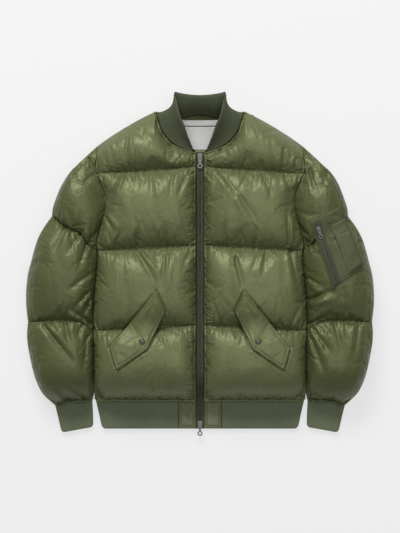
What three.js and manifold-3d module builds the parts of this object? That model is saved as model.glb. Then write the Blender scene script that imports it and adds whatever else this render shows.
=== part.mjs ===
// A padded bomber jacket that lies on its back with the front up, the zip closed and the sleeves beside the body.
// Millimetres. X runs to the wearer's left, Y from hem to collar, Z up from the surface that the jacket lies on.
// Left and right are the wearer's. Tables give the left half, as distances from the centre line.
import * as THREE from 'three';
import Module from 'manifold-3d';

const wasm = await Module();
wasm.setup();

const SEAM_GAP = 0.4;
const LAYER_GAP = 0.6;
const COLOURS = { shell: 0x5b6043, sleeve: 0x50553a, rib: 0x4d513f, zip: 0x43463a, metal: 0x8a8a80, label: 0xd6d7d6 };

const table = (columns, ...rows) => rows.map((row) => Object.fromEntries(columns.map((name, i) => [name, row[i]])));

// Plan of the body, from the zip to the side seam.
const ZIP_EDGE = 8.5;
const NECK = table(['x', 'y'],
  [8.5, 255], [16, 255.5], [31, 260], [44, 264.5], [61, 273], [74, 285], [85, 300], [92, 317], [96, 330],
  [99.5, 346]);
const BACK_NECK = table(['x', 'y'], [0, 341], [30, 340], [60, 337], [85, 339], [99.5, 346]);
const SHOULDER = table(['x', 'y'], [99.5, 346], [149, 321], [197, 292], [230.6, 268]);
const BODY_SIDE = table(['y', 'x'],
  [268, 230.6], [237, 232.9], [210, 234], [192, 225.4], [159, 213.3], [120, 214.4], [80, 225.4], [46, 233],
  [17, 231.8], [-21, 234.5], [-78, 239.5], [-123, 240.5], [-155, 240], [-289, 238], [-303, 236]);
const QUILTING = table(['zip', 'side'], [221.6, 206], [46, 34], [-133, -145], [-302.6, -303]);
const HEM_SEAM = -303;
const HEM_END = -370;

// Plan of a sleeve. Each channel has its outer edge and its lower stitch line, from the outer edge inwards.
const SLEEVE = [
  {
    outer: table(['y', 'x'], [268, 231.1], [237, 265], [210, 292], [183, 310], [156, 322], [129, 331], [111, 333]),
    lower: table(['x', 'y'], [333, 111], [315, 96], [292, 82], [270, 71], [252, 50], [235.6, 34]),
  },
  {
    outer: table(['y', 'x'],
      [111, 333], [89, 349], [62, 364], [35, 373], [8, 380], [-19, 387], [-55, 391], [-89, 391], [-127, 387]),
    lower: table(['x', 'y'], [387, -127], [337, -123], [292, -123], [270, -127], [252, -136], [243, -145]),
  },
  {
    outer: table(['y', 'x'],
      [-127, 387], [-154, 389], [-181, 387], [-208, 382], [-235, 376], [-262, 368], [-289, 355], [-317, 328]),
    lower: table(['x', 'y'], [328, -317], [312, -311], [297, -305], [280, -305], [246, -303]),
  },
];
const SLEEVE_INNER = table(['y', 'x'],
  [34, 235.6], [17, 232.4], [-21, 236], [-78, 241.5], [-123, 243], [-168, 245], [-303, 246]);
const CUFF_END = table(['x', 'y'], [314, -379], [242, -366]);

// Padding. Heights are measured from the plane where the front lies on the back.
const REST_HEIGHT = 46;
const HEM_REST = { height: 6, from: -350, to: -235 };
const NECK_DIP = { depth: 14, from: 235, over: 80, halfWidth: 100 };
const BODY_PAD = { crest: 54, groove: 23, fullSpan: 150, startRound: 45, endRound: 75 };
const SLEEVE_PAD = { crest: 50, groove: 26, fullSpan: 120, startRound: 62, endRound: 55 };
const EDGE = { seam: 2, zip: 12, neck: 10, hem: 6, cuff: 7, armhole: 22 };
const SPAN_POWER = 0.75;
const ARMHOLE_POWER = 0.7;
const NECK_FADE_COLUMNS = 3;
const COLUMNS = [0, 0.04, 0.11, 0.19, 0.27, 0.35, 0.43, 0.53, 0.63, 0.73, 0.82, 0.9, 0.96, 1];
const NECK_COLUMNS = 6;
const SLEEVE_COLUMNS = [0, 0.035, 0.09, 0.17, 0.27, 0.38, 0.5, 0.63, 0.77, 0.9, 1];
const UNDERARM_TURN = 0.75;
const CHANNEL_ROWS = [0, 0.07, 0.25, 0.5, 0.75, 0.93, 1];
const GATHER = { depth: 3.5, reach: 0.1 };

// The largest folds, as soft troughs from one point to another.
const BODY_FOLDS = table(['x', 'y', 'toX', 'toY', 'depth', 'width'],
  [75, 222, 90, 208, 6, 14], [55, 250, 95, 215, 4, 12], [165, 290, 172, 220, 5, 14],
  [178, 200, 212, 105, 7, 16], [60, 190, 105, 95, 5, 14], [140, 190, 160, 140, 4, 12],
  [100, 20, 138, -45, 6, 16], [80, 25, 84, -55, 4, 12], [200, 110, 190, 60, 5, 14],
  [60, -150, 95, -215, 4, 14], [190, -260, 150, -295, 4, 12], [40, -250, 70, -292, 4, 12]);
const SLEEVE_FOLDS = table(['x', 'y', 'toX', 'toY', 'depth', 'width'],
  [249, 232, 243, 200, 7, 12], [270, 72, 300, 40, 5, 13], [290, 60, 285, 15, 4, 12],
  [243, -80, 290, -62, 7, 14], [252, -120, 300, -95, 6, 12], [348, -135, 275, -225, 7, 13],
  [262, -150, 285, -185, 5, 12], [252, -285, 275, -300, 6, 12], [300, -300, 335, -280, 6, 12],
  [330, 40, 345, -20, 4, 14]);

// Ribbed bands.
const RIB = { pitch: 6, height: 1.2, wall: 4.2 };
const BAND_ROWS = [0, 0.33, 0.67, 1];
const HEM_TAB = { from: 9.5, to: 49.5, thickness: 5 };
const HEM_HALF_WIDTH = { seam: 236, end: 222 };
const CUFF = { halfSlit: 0.5, ribs: 13, corner: 8, insideSteps: 6, seamGap: 0.7 };
const COLLAR = { wall: 4, ribs: 40, swell: 5, fullHeight: 40, insideStep: 4 };
const COLLAR_EDGES = table(['x', 'y', 'z', 'topX', 'topY', 'topZ'],
  [16.5, 257.5, 56.5, 17, 264.5, 61],
  [31, 261.5, 57, 22, 279, 71],
  [43.5, 266.5, 57.5, 27, 292, 79],
  [60, 275.5, 57.5, 34, 313, 88],
  [72.5, 287.5, 57.5, 43, 334, 92],
  [83.5, 302.5, 57.5, 48, 354, 90],
  [89.5, 319, 57.5, 52, 371, 85],
  [93, 334, 57, 55.5, 381.5, 80],
  [97, 350.5, 48, 55, 387, 76],
  [87, 349, 36, 48, 385.5, 73],
  [60, 345, 27, 33, 383, 71],
  [30, 345.5, 24, 17, 381, 70],
  [0, 346, 22, 0, 380, 70]);

// Front zip. A slider and its pull are drawn with the hinge axis at their origin and the pull pointing to -Y.
const TAPE = { thickness: 1.5, lift: 8, hemLift: 2.2, ramp: 40, top: 255, steps: 26 };
const SLIDER = { width: 11, front: 9, back: 10, top: -1.25, bottom: -3.9, waist: 0.72, middle: 0.85, nose: 0.6 };
const CROWN = { halfWidth: 1, inside: 2.8, outside: 4.2, roof: 2, top: 3.4, root: 0.5, bevel: 1 };
const PULL = { thickness: 1.6, bar: 0.8, eye: 6.5, eyeHalf: 1.7, neckHalf: 3.3, narrow: 2.5, shoulder: 1, neckEnd: 3,
  ring: 5.8, hole: 2.9, reach: 19.5, sides: 14 };
const TOP_SLIDER_Y = 243;
const BOTTOM_SLIDER_Y = -361;

// Pieces that lie on the panels, as corners in plan.
const FLAP = { thickness: 3, cells: [6, 10], points: table(['x', 'y'],
  [97, -58], [78, -104], [117, -186], [186, -232], [201, -182]) };
const SNAP = { x: 129, y: -169, radius: 7.5, crown: 6, height: 2.4, lift: 1, sides: 24 };
const POCKET = { thickness: 3, cells: [12, 7], corners: table(['x', 'y'],
  [245, 98], [315, 134], [366, 2], [294, -54]) };
const PEN_POCKET = { thickness: 2, cells: [8, 4], across: [0.52, 0.96], down: [0.2, 0.96] };
const POCKET_ZIP = { thickness: 1.2, cells: [8, 2], across: [0.05, 0.27], down: [0.04, 0.97] };
const POCKET_SLIDER = { from: 0.16, to: 0.28, halfWidth: 4, lift: 1, scale: 0.82 };
const LABEL = { thickness: 0.8, columns: 8, rows: table(['y', 'right', 'left'],
  [328, -42, 41], [321, -42, 41], [314, -42, 41], [311, -34, 40], [295, -34, 40], [278, -34, 40], [260, -34, 40]) };
const ON_PANEL = { lift: 0.6, reach: 8 };
const ON_POCKET = { lift: 0.7, reach: 2 };
const SPOTS_AROUND = 8;
const SPANNING_PASSES = 60;

const { clamp, lerp, smoothstep } = THREE.MathUtils;
const share = (value) => smoothstep(value, 0, 1);
const bulge = (value) => Math.sqrt(1 - (1 - clamp(value, 0, 1)) ** 2);
const steps = (count) => Array.from({ length: count + 1 }, (_, i) => i / count);
const flat = ({ x, y }) => new THREE.Vector2(x, y);
const uneven = (i, j) => {
  const mixed = Math.sin(i * 12.9898 + j * 78.233) * 43758.5453;
  return mixed - Math.floor(mixed);
};

// A smooth curve through a table's rows, which reads one column against another that runs one way.
function curveThrough(rows, from, to) {
  const slopes = rows.map((row, i) => {
    const before = rows[Math.max(i - 1, 0)];
    const after = rows[Math.min(i + 1, rows.length - 1)];
    return (after[to] - before[to]) / (after[from] - before[from]);
  });
  const falling = rows[0][from] > rows.at(-1)[from];
  return (value) => {
    const next = rows.findIndex((row) => (falling ? row[from] <= value : row[from] >= value));
    const i = clamp((next < 0 ? rows.length : next) - 1, 0, rows.length - 2);
    const step = rows[i + 1][from] - rows[i][from];
    const t = clamp((value - rows[i][from]) / step, 0, 1);
    const eased = t * t * (3 - 2 * t);
    const leave = slopes[i] * step * t * (1 - t) ** 2;
    const arrive = slopes[i + 1] * step * t * t * (t - 1);
    return lerp(rows[i][to], rows[i + 1][to], eased) + leave + arrive;
  };
}

// Height of the plane where the front lies on the back.
const layerHeight = (y) => lerp(HEM_REST.height, REST_HEIGHT, smoothstep(y, HEM_REST.from, HEM_REST.to));
const neckDip = ({ x, y }) => (
  NECK_DIP.depth * share((y - NECK_DIP.from) / NECK_DIP.over) * (1 - share(Math.abs(x) / NECK_DIP.halfWidth)));

// Triangles between two rows of points that run the same way, each row with its own number of points.
function stitch(index, first, second) {
  let i = 0;
  let k = 0;
  while (i < first.length - 1 || k < second.length - 1) {
    if ((i + 1) / (first.length - 1) <= (k + 1) / (second.length - 1)) {
      index.push(first[i + 1], first[i], second[k]);
      i += 1;
    } else {
      index.push(first[i], second[k], second[k + 1]);
      k += 1;
    }
  }
}

// A closed solid between an outer and an inner surface, each given as the same number of rows of points.
// The inner rows may have fewer points than the outer ones. A ring's rows close on themselves.
function solidBetween(outer, inner, ring = false) {
  const index = [];
  let count = 0;
  const numbered = (surface) => surface.map((row) => {
    const places = row.map((_, i) => count + i);
    count += row.length;
    return ring ? [...places, places[0]] : places;
  });
  const outside = numbered(outer);
  const inside = numbered(inner);
  for (let j = 0; j < outer.length - 1; j++) {
    stitch(index, outside[j + 1], outside[j]);
    stitch(index, inside[j], inside[j + 1]);
    if (!ring) {
      stitch(index, [inside[j][0], inside[j + 1][0]], [outside[j][0], outside[j + 1][0]]);
      stitch(index, [outside[j].at(-1), outside[j + 1].at(-1)], [inside[j].at(-1), inside[j + 1].at(-1)]);
    }
  }
  stitch(index, outside[0], inside[0]);
  stitch(index, inside.at(-1), outside.at(-1));
  const geometry = new THREE.BufferGeometry().setFromPoints([...outer.flat(), ...inner.flat()]);
  geometry.setIndex(index);
  return facingOut(geometry);
}

function facingOut(geometry) {
  const { index } = geometry;
  const corner = (k) => new THREE.Vector3().fromBufferAttribute(geometry.attributes.position, index.getX(k));
  let volume = 0;
  for (let k = 0; k < index.count; k += 3) volume += corner(k).dot(corner(k + 1).cross(corner(k + 2)));
  if (volume < 0) index.array.reverse();
  geometry.computeVertexNormals();
  return geometry;
}

function piece(name, geometry, colour, roughness = 0.6, metalness = 0) {
  const material = new THREE.MeshStandardMaterial({ color: COLOURS[colour], roughness, metalness });
  const mesh = new THREE.Mesh(geometry, material);
  mesh.name = name;
  return mesh;
}

// Rows of plan points that fill the space between two lines and two ends and meet all four.
function fill(top, bottom, start, end, across, down) {
  return down.map((t, j) => across.map((u, i) => {
    const ruled = top[i].clone().lerp(bottom[i], t).add(start[j].clone().lerp(end[j], u));
    const upper = top[0].clone().lerp(top.at(-1), u);
    const lower = bottom[0].clone().lerp(bottom.at(-1), u);
    return ruled.sub(upper.lerp(lower, t));
  }));
}

// A panel's rows of plan points, each with its place in its channel and the channel's height there.
function panelRows(lines, ends, across) {
  return lines.slice(1).flatMap((bottom, channel) => {
    const top = lines[channel];
    const { start, end } = ends(channel, top, bottom);
    const spans = top.map((point, i) => point.distanceTo(bottom[i]));
    const rows = fill(top, bottom, start, end, across, CHANNEL_ROWS)
      .map((points, j) => ({ points, spans, channel, t: CHANNEL_ROWS[j] }));
    return channel ? rows.slice(1) : rows;
  });
}

function bodyRows(topLine, innerX) {
  const sideX = curveThrough(BODY_SIDE, 'y', 'x');
  const stitchLines = QUILTING.map(({ zip, side }) => COLUMNS.map(
    (u) => new THREE.Vector2(lerp(innerX, sideX(side), u), lerp(zip, side, u))));
  const ends = (channel, top, bottom) => ({
    start: CHANNEL_ROWS.map((t) => new THREE.Vector2(innerX, lerp(top[0].y, bottom[0].y, t))),
    end: CHANNEL_ROWS.map((t) => {
      const y = lerp(top.at(-1).y, bottom.at(-1).y, t);
      return new THREE.Vector2(sideX(y), y);
    }),
  });
  return panelRows([topLine, ...stitchLines], ends, COLUMNS);
}

// The neck curve followed by the shoulder, as one point for each column.
function neckAndShoulder(neck) {
  const neckCurve = new THREE.SplineCurve(neck.map(flat));
  const shoulder = new THREE.SplineCurve(SHOULDER.map(flat));
  const point = COLUMNS[NECK_COLUMNS];
  return COLUMNS.map((u, i) => (
    i <= NECK_COLUMNS ? neckCurve.getPointAt(u / point) : shoulder.getPointAt((u - point) / (1 - point))));
}

const frontRows = bodyRows(neckAndShoulder(NECK), ZIP_EDGE);
const backHalfRows = bodyRows(neckAndShoulder(BACK_NECK), 0);
const armholeSteps = 2 * (CHANNEL_ROWS.length - 1);
const armholeRise = (step) => lerp(
  EDGE.seam, EDGE.armhole, Math.sin(Math.PI * clamp(step / armholeSteps, 0, 1)) ** ARMHOLE_POWER);

// The sleeve's upper edge follows the armhole, and the inner end of its first channel goes on along it.
const sleeveCorner = SLEEVE_COLUMNS.length - 1;
const armholeStep = (t) => sleeveCorner + (
  t < UNDERARM_TURN ? t / UNDERARM_TURN : 1 + (t - UNDERARM_TURN) / (1 - UNDERARM_TURN));

function sleeveRows() {
  const seam = frontRows.slice(0, armholeSteps + 1).map(({ points }) => points.at(-1).clone());
  seam.forEach((point) => point.setX(point.x + SEAM_GAP));
  const innerX = curveThrough(SLEEVE_INNER, 'y', 'x');
  const stitchLines = SLEEVE.map(({ lower }) => {
    const lineY = curveThrough(lower, 'x', 'y');
    return SLEEVE_COLUMNS.map((u) => {
      const x = lerp(lower[0].x, lower.at(-1).x, u);
      return new THREE.Vector2(x, lineY(x));
    });
  });
  stitchLines[0][SLEEVE_COLUMNS.length - 1].copy(seam.at(-1));
  const ends = (channel, top, bottom) => {
    const outerX = curveThrough(SLEEVE[channel].outer, 'y', 'x');
    return {
      start: CHANNEL_ROWS.map((t) => {
        const y = lerp(top[0].y, bottom[0].y, t);
        return new THREE.Vector2(outerX(y), y);
      }),
      end: CHANNEL_ROWS.map((t) => {
        const y = lerp(top.at(-1).y, bottom.at(-1).y, t);
        const step = armholeStep(t);
        const along = seam[Math.floor(step)].clone();
        return channel ? new THREE.Vector2(innerX(y), y) : along.lerp(seam[Math.ceil(step)], step % 1);
      }),
    };
  };
  return panelRows([seam.slice(0, sleeveCorner + 1), ...stitchLines], ends, SLEEVE_COLUMNS);
}

function foldDepth(folds, point) {
  const nearest = new THREE.Vector3();
  return folds.reduce((sum, { x, y, toX, toY, depth, width }) => {
    const line = new THREE.Line3(new THREE.Vector3(x, y), new THREE.Vector3(toX, toY));
    line.closestPointToPoint(new THREE.Vector3(point.x, point.y), true, nearest);
    return sum + depth * Math.exp(-((Math.hypot(point.x - nearest.x, point.y - nearest.y) / width) ** 2));
  }, 0);
}

// Height of the padding over its own flat side: stitched down at the channel's edges and round between them.
function padHeight(row, i, edges, pad, folds) {
  const { points, spans, channel, t } = row;
  const crest = lerp(pad.groove, pad.crest, Math.min(1, spans[i] / pad.fullSpan) ** SPAN_POWER);
  const stitched = t < 0.5 ? edges.above : edges.below;
  const nearStitches = Math.min(t, 1 - t);
  const fromNeck = channel === 0 && t < 0.5;
  const fromEdge = (edge, k, round) => lerp(edge, height, bulge(points[i].distanceTo(points.at(k)) / round));
  let height = lerp(stitched, crest, fromNeck ? Math.sin(Math.PI * t) : bulge(2 * nearStitches));
  if ('start' in edges) height = fromEdge(edges.start, 0, pad.startRound);
  height = fromEdge(edges.end, -1, pad.endRound);
  const inside = i > 0 && i < points.length - 1;
  if (!inside || nearStitches === 0) return height;
  if (nearStitches < GATHER.reach) height -= GATHER.depth * uneven(i, channel + t);
  return Math.max(height - foldDepth(folds, points[i]), EDGE.seam);
}

// Edge heights that a front and the back share. The last channel ends at the hem.
function bodyEdges(row, i, k) {
  const neckEdge = lerp(EDGE.neck, EDGE.seam, share((i - NECK_COLUMNS) / NECK_FADE_COLUMNS));
  return {
    above: row.channel ? BODY_PAD.groove : neckEdge,
    below: row.channel === QUILTING.length - 1 ? EDGE.hem : BODY_PAD.groove,
    end: armholeRise(k),
  };
}

function frontHeight(row, i, k) {
  return padHeight(row, i, { ...bodyEdges(row, i, k), start: EDGE.zip }, BODY_PAD, BODY_FOLDS);
}

function backHeight(row, i, k) {
  return padHeight(row, i, bodyEdges(row, i, k), BODY_PAD, []);
}

function sleeveHeight(row, i) {
  return padHeight(row, i, {
    above: row.channel ? SLEEVE_PAD.groove : armholeRise(i),
    below: row.channel === SLEEVE.length - 1 ? EDGE.cuff : SLEEVE_PAD.groove,
    start: EDGE.seam,
    end: row.channel ? EDGE.seam : armholeRise(armholeStep(row.t)),
  }, SLEEVE_PAD, SLEEVE_FOLDS);
}

// The padded solid over a panel's rows: above the plane between the layers, or below it and flat on the ground.
// Inner rows that are level need only their ends.
function paddedPanel(rows, heightAt, { side = 1, up = 1, dip = () => 0 }) {
  const inner = rows.map(({ points }) => points.map((point) => (
    new THREE.Vector3(side * point.x, point.y, layerHeight(point.y) - dip(point) + up * LAYER_GAP / 2))));
  const outer = inner.map((row, k) => row.map(({ x, y, z }, i) => (
    new THREE.Vector3(x, y, Math.max(0, z + up * heightAt(rows[k], i, k))))));
  const level = (row) => row.every(({ z }) => z === row[0].z);
  const coarse = inner.map((row, k) => (k && level(row) && level(inner[k + 1]) ? [row[0], row.at(-1)] : row));
  return solidBetween(outer, coarse);
}

// The back's rows, from one side seam to the other.
function wholeBackRows() {
  return backHalfRows.map((row) => {
    const mirrored = row.points.slice(1).reverse().map(({ x, y }) => new THREE.Vector2(-x, y));
    return { ...row, points: [...mirrored, ...row.points] };
  });
}

function backPanel() {
  const centre = COLUMNS.length - 1;
  const heightAt = (row, i, k) => backHeight(backHalfRows[k], Math.abs(i - centre), k);
  return paddedPanel(wholeBackRows(), heightAt, { up: -1, dip: neckDip });
}

// A ribbed band: a solid over plan rows of points with ribs that run down it, and a plain inside.
function hemBand(fromX, sign) {
  const length = HEM_HALF_WIDTH.seam - fromX;
  const ribs = Math.round(length / RIB.pitch);
  const half = steps(2 * ribs);
  const shares = fromX ? half : [...half.slice(1).reverse().map((u) => -u), ...half];
  const bandRows = (places, heightAt) => BAND_ROWS.map((t) => places.map((u, i) => {
    const reach = lerp(HEM_HALF_WIDTH.seam, HEM_HALF_WIDTH.end, t);
    const y = lerp(HEM_SEAM - SEAM_GAP, HEM_END, t);
    const x = fromX ? lerp(fromX, reach, u) : reach * u;
    return new THREE.Vector3(x, y, layerHeight(y) + sign * (LAYER_GAP / 2 + heightAt(t, i)));
  }));
  return {
    inner: bandRows([shares[0], 1], () => 0),
    outer: bandRows(shares, (t, i) => RIB.wall + (i % 2 && t ? RIB.height : 0)),
  };
}

function raised(grid, height) {
  return grid.map((row) => row.map(({ x, y, z }) => new THREE.Vector3(x, y, z + height)));
}

function mirroredX(grid, side) {
  return grid.map((row) => row.map(({ x, y, z }) => new THREE.Vector3(side * x, y, z)));
}

function hemTab(side) {
  const inner = BAND_ROWS.map((t) => {
    const y = lerp(HEM_SEAM - SEAM_GAP, HEM_END, t);
    return [HEM_TAB.from, HEM_TAB.to].map((x) => new THREE.Vector3(side * x, y, layerHeight(y) + LAYER_GAP / 2));
  });
  return solidBetween(raised(inner, HEM_TAB.thickness), inner);
}

// A cuff: a ribbed tube that lies flat, as rings from the sleeve's seam to its end.
function cuff(side) {
  const seamLine = SLEEVE[2].lower;
  const around = (count) => {
    const shares = steps(count);
    return [...shares.map((u) => [u, 1]), ...shares.slice(1, -1).reverse().map((u) => [u, -1])];
  };
  const ringAt = (t, count, inset, halfHeight, rib) => around(count).map(([u, sign], i) => {
    const [start, end] = [seamLine[0], seamLine.at(-1)].map(({ x, y }, k) => (
      new THREE.Vector2(x, y - CUFF.seamGap).lerp(flat(CUFF_END[k]), t)));
    const width = start.distanceTo(end);
    const place = start.lerp(end, lerp(inset / width, 1 - inset / width, u));
    place.y -= t === 0 ? seamSag(u) : 0;
    const fromEdge = Math.min(u, 1 - u) * width;
    const rise = halfHeight * bulge(fromEdge / CUFF.corner) + (i % 2 ? rib : 0);
    return new THREE.Vector3(side * place.x, place.y, layerHeight(place.y) + sign * rise);
  });
  const outer = BAND_ROWS.map((t) => ringAt(t, 2 * CUFF.ribs, 0, CUFF.halfSlit + RIB.wall, t ? RIB.height : 0));
  const inner = BAND_ROWS.map((t) => ringAt(t, CUFF.insideSteps, RIB.wall, CUFF.halfSlit, 0));
  return solidBetween(outer, inner, true);
}

// How far the sleeve's curved seam hangs below the straight line between its ends.
function seamSag(u) {
  const line = SLEEVE[2].lower;
  const lineY = curveThrough(line, 'x', 'y');
  const straight = lerp(line[0].y, line.at(-1).y, u);
  return straight - lineY(lerp(line[0].x, line.at(-1).x, u));
}

// The collar: one ribbed band that stands on the neck seam, from zip end to zip end round the back.
function collar() {
  const seamCurve = new THREE.CatmullRomCurve3(COLLAR_EDGES.map(({ x, y, z }) => new THREE.Vector3(x, y, z)));
  const topCurve = new THREE.CatmullRomCurve3(
    COLLAR_EDGES.map(({ topX, topY, topZ }) => new THREE.Vector3(topX, topY, topZ)));
  const columns = 2 * COLLAR.ribs;
  const half = Array.from({ length: columns + 1 }, (_, i) => {
    const seam = seamCurve.getPoint(i / columns);
    const top = topCurve.getPoint(i / columns);
    const along = seamCurve.getTangent(i / columns).add(topCurve.getTangent(i / columns));
    if (i === columns) along.set(-1, 0, 0);
    const out = along.cross(top.clone().sub(seam)).normalize().negate();
    return { seam, top, out, rib: i % 2 };
  });
  const rowAt = (t, places, liftOf) => {
    const row = places.map((place) => {
      const fullness = Math.min(1, place.seam.distanceTo(place.top) / COLLAR.fullHeight);
      const swell = COLLAR.swell * fullness * Math.sin(Math.PI * t);
      return place.seam.clone().lerp(place.top, t).addScaledVector(place.out, swell + liftOf(place));
    });
    return [...row, ...mirroredX([row.slice(0, -1)], -1)[0].reverse()];
  };
  const rows = [0, 0.5, 1];
  const outer = rows.map((t) => rowAt(t, half, ({ rib }) => (t ? rib * RIB.height : 0)));
  const inside = half.filter((_, i) => i % COLLAR.insideStep === 0);
  return solidBetween(outer, rows.map((t) => rowAt(t, inside, () => -COLLAR.wall)));
}

// Height of the underside of the closed zip's tape, which lies between the two fronts.
const tapeHeight = (y) => (
  layerHeight(y) + LAYER_GAP / 2 + lerp(TAPE.hemLift, TAPE.lift, smoothstep(y, HEM_SEAM, HEM_SEAM + TAPE.ramp)));

function zipTape() {
  const halfWidth = ZIP_EDGE - SEAM_GAP;
  const lower = steps(TAPE.steps).map((t) => {
    const y = lerp(TAPE.top, HEM_END, t);
    return [-halfWidth, halfWidth].map((x) => new THREE.Vector3(x, y, tapeHeight(y)));
  });
  return solidBetween(raised(lower, TAPE.thickness), lower);
}

function surfaceUnder(mesh) {
  const ray = new THREE.Raycaster();
  const down = new THREE.Vector3(0, 0, -1);
  return (x, y) => {
    ray.set(new THREE.Vector3(x, y, 500), down);
    return ray.intersectObject(mesh)[0]?.point.z ?? -Infinity;
  };
}

// A piece laid on a panel: each point rests on the highest spot near it, and the cloth spans the hollows between.
function laidOn(mesh, plan, thickness, { lift, reach } = ON_PANEL) {
  const heightAt = surfaceUnder(mesh);
  const centre = new THREE.Vector2();
  const spots = steps(SPOTS_AROUND).slice(1).map((turn) => (
    new THREE.Vector2(reach, 0).rotateAround(centre, 2 * Math.PI * turn)));
  const highest = (point) => Math.max(...[centre, ...spots].map(({ x, y }) => heightAt(point.x + x, point.y + y)));
  const ground = plan.map((row) => row.map((point) => highest(point) + lift));
  const levels = ground.map((row) => [...row]);
  const between = (before, after) => (before === undefined || after === undefined ? -Infinity : (before + after) / 2);
  for (let pass = 0; pass < SPANNING_PASSES; pass++) {
    levels.forEach((row, j) => row.forEach((_, i) => {
      const beside = between(row[i - 1], row[i + 1]);
      const along = between(levels[j - 1]?.[i], levels[j + 1]?.[i]);
      row[i] = Math.max(ground[j][i], Math.min(beside, along), (beside + along) / 2);
    }));
  }
  const lower = plan.map((row, j) => row.map(({ x, y }, i) => new THREE.Vector3(x, y, levels[j][i])));
  return solidBetween(raised(lower, thickness), lower);
}

function flapPlan(side) {
  const [hinge, upper, tip, lower, foot] = FLAP.points.map(({ x, y }) => new THREE.Vector2(side * x, y));
  const [down, across] = FLAP.cells.map(steps);
  const between = (a, b) => (t) => a.clone().lerp(b, t);
  const top = across.map(between(hinge, foot));
  const bottom = across.map((u) => (u < 0.5 ? between(upper, tip)(2 * u) : between(tip, lower)(2 * u - 1)));
  return fill(top, bottom, down.map(between(hinge, upper)), down.map(between(foot, lower)), across, down);
}

// Plan points over a share of the sleeve pocket, measured across it and down it.
function pocketPlan(cells, across = [0, 1], down = [0, 1]) {
  const [inner, outer, outerFoot, innerFoot] = POCKET.corners.map(flat);
  const at = (u, t) => inner.clone().lerp(outer, u).lerp(innerFoot.clone().lerp(outerFoot, u), t);
  return steps(cells[0]).map((t) => steps(cells[1]).map((u) => at(lerp(...across, u), lerp(...down, t))));
}

// A strip and, below it, a narrower patch.
function labelPlan() {
  const across = steps(LABEL.columns);
  return LABEL.rows.map(({ y, right, left }) => across.map((u) => new THREE.Vector2(lerp(right, left, u), y)));
}

function outlineOf(points) {
  return new THREE.Shape(points.map(([x, y]) => new THREE.Vector2(x, y)));
}

function extruded(shape, depth) {
  return new THREE.ExtrudeGeometry(shape, { depth, bevelEnabled: false, curveSegments: 8 });
}

function toManifold(geometry) {
  const corners = geometry.attributes.position;
  const solid = new wasm.Mesh({
    numProp: 3,
    vertProperties: new Float32Array(corners.array),
    triVerts: Uint32Array.from({ length: corners.count }, (_, i) => i),
  });
  solid.merge();
  return new wasm.Manifold(solid);
}

function toGeometry(solid) {
  const { vertProperties, triVerts } = solid.getMesh();
  const geometry = new THREE.BufferGeometry();
  geometry.setAttribute('position', new THREE.BufferAttribute(vertProperties, 3));
  geometry.setIndex(new THREE.BufferAttribute(triVerts, 1));
  geometry.computeVertexNormals();
  return geometry;
}

// A slider's top plate with the arch that holds its pull.
function sliderBody() {
  const { width, front, back: rear, top, bottom, waist, middle, nose } = SLIDER;
  const half = width / 2;
  const plateSide = [[half * waist, -rear], [half * middle, 0], [half, front * nose], [half * nose, front]];
  const plateShape = outlineOf([...plateSide, ...plateSide.map(([x, y]) => [-x, y]).reverse()]);
  const plate = extruded(plateShape, top - bottom).translate(0, 0, bottom);
  const { halfWidth, inside, outside, roof, top: crest, root, bevel } = CROWN;
  const archSide = [
    [inside, roof], [inside, top - root], [outside, top - root], [outside, crest - bevel], [outside - bevel, crest]];
  const archShape = outlineOf([...archSide, ...archSide.map(([x, y]) => [-x, y]).reverse()]);
  const arch = extruded(archShape, 2 * halfWidth).translate(0, 0, -halfWidth)
    .rotateY(Math.PI / 2).rotateX(Math.PI / 2);
  return toGeometry(toManifold(plate).add(toManifold(arch)));
}

// A pull tab: an eye that turns in the slider's arch, a neck and a ring.
function pullTab() {
  const { thickness, bar, eye, eyeHalf, neckHalf, narrow, shoulder, neckEnd, ring, hole, reach } = PULL;
  const shape = new THREE.Shape();
  const turn = Math.asin(narrow / ring);
  shape.moveTo(-neckHalf, bar);
  shape.lineTo(-neckHalf, -eye - shoulder);
  shape.lineTo(-narrow, -eye - neckEnd);
  shape.absarc(0, -reach, ring, Math.PI / 2 + turn, Math.PI / 2 - turn + 2 * Math.PI, false);
  shape.lineTo(narrow, -eye - neckEnd);
  shape.lineTo(neckHalf, -eye - shoulder);
  shape.lineTo(neckHalf, bar);
  const eyeHole = new THREE.Path([[-eyeHalf, -bar], [eyeHalf, -bar], [eyeHalf, -eye], [-eyeHalf, -eye]]
    .map(([x, y]) => new THREE.Vector2(x, y)));
  const ringHole = new THREE.Path(Array.from({ length: PULL.sides }, (_, i) => {
    const angle = -2 * Math.PI * i / PULL.sides;
    return new THREE.Vector2(hole * Math.cos(angle), hole * Math.sin(angle) - reach);
  }));
  shape.holes.push(eyeHole, ringHole);
  return extruded(shape, thickness).translate(0, 0, -thickness / 2);
}

// A slider and its pull as one placed group, with the hinge axis at the group's origin.
function sliderWithPull(names, place, scale = 1) {
  const group = new THREE.Group();
  group.add(piece(names[0], sliderBody(), 'metal', 0.4, 0.8));
  group.add(piece(names[1], pullTab(), 'metal', 0.4, 0.8));
  group.applyMatrix4(place);
  group.scale.setScalar(scale);
  return group;
}

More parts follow.
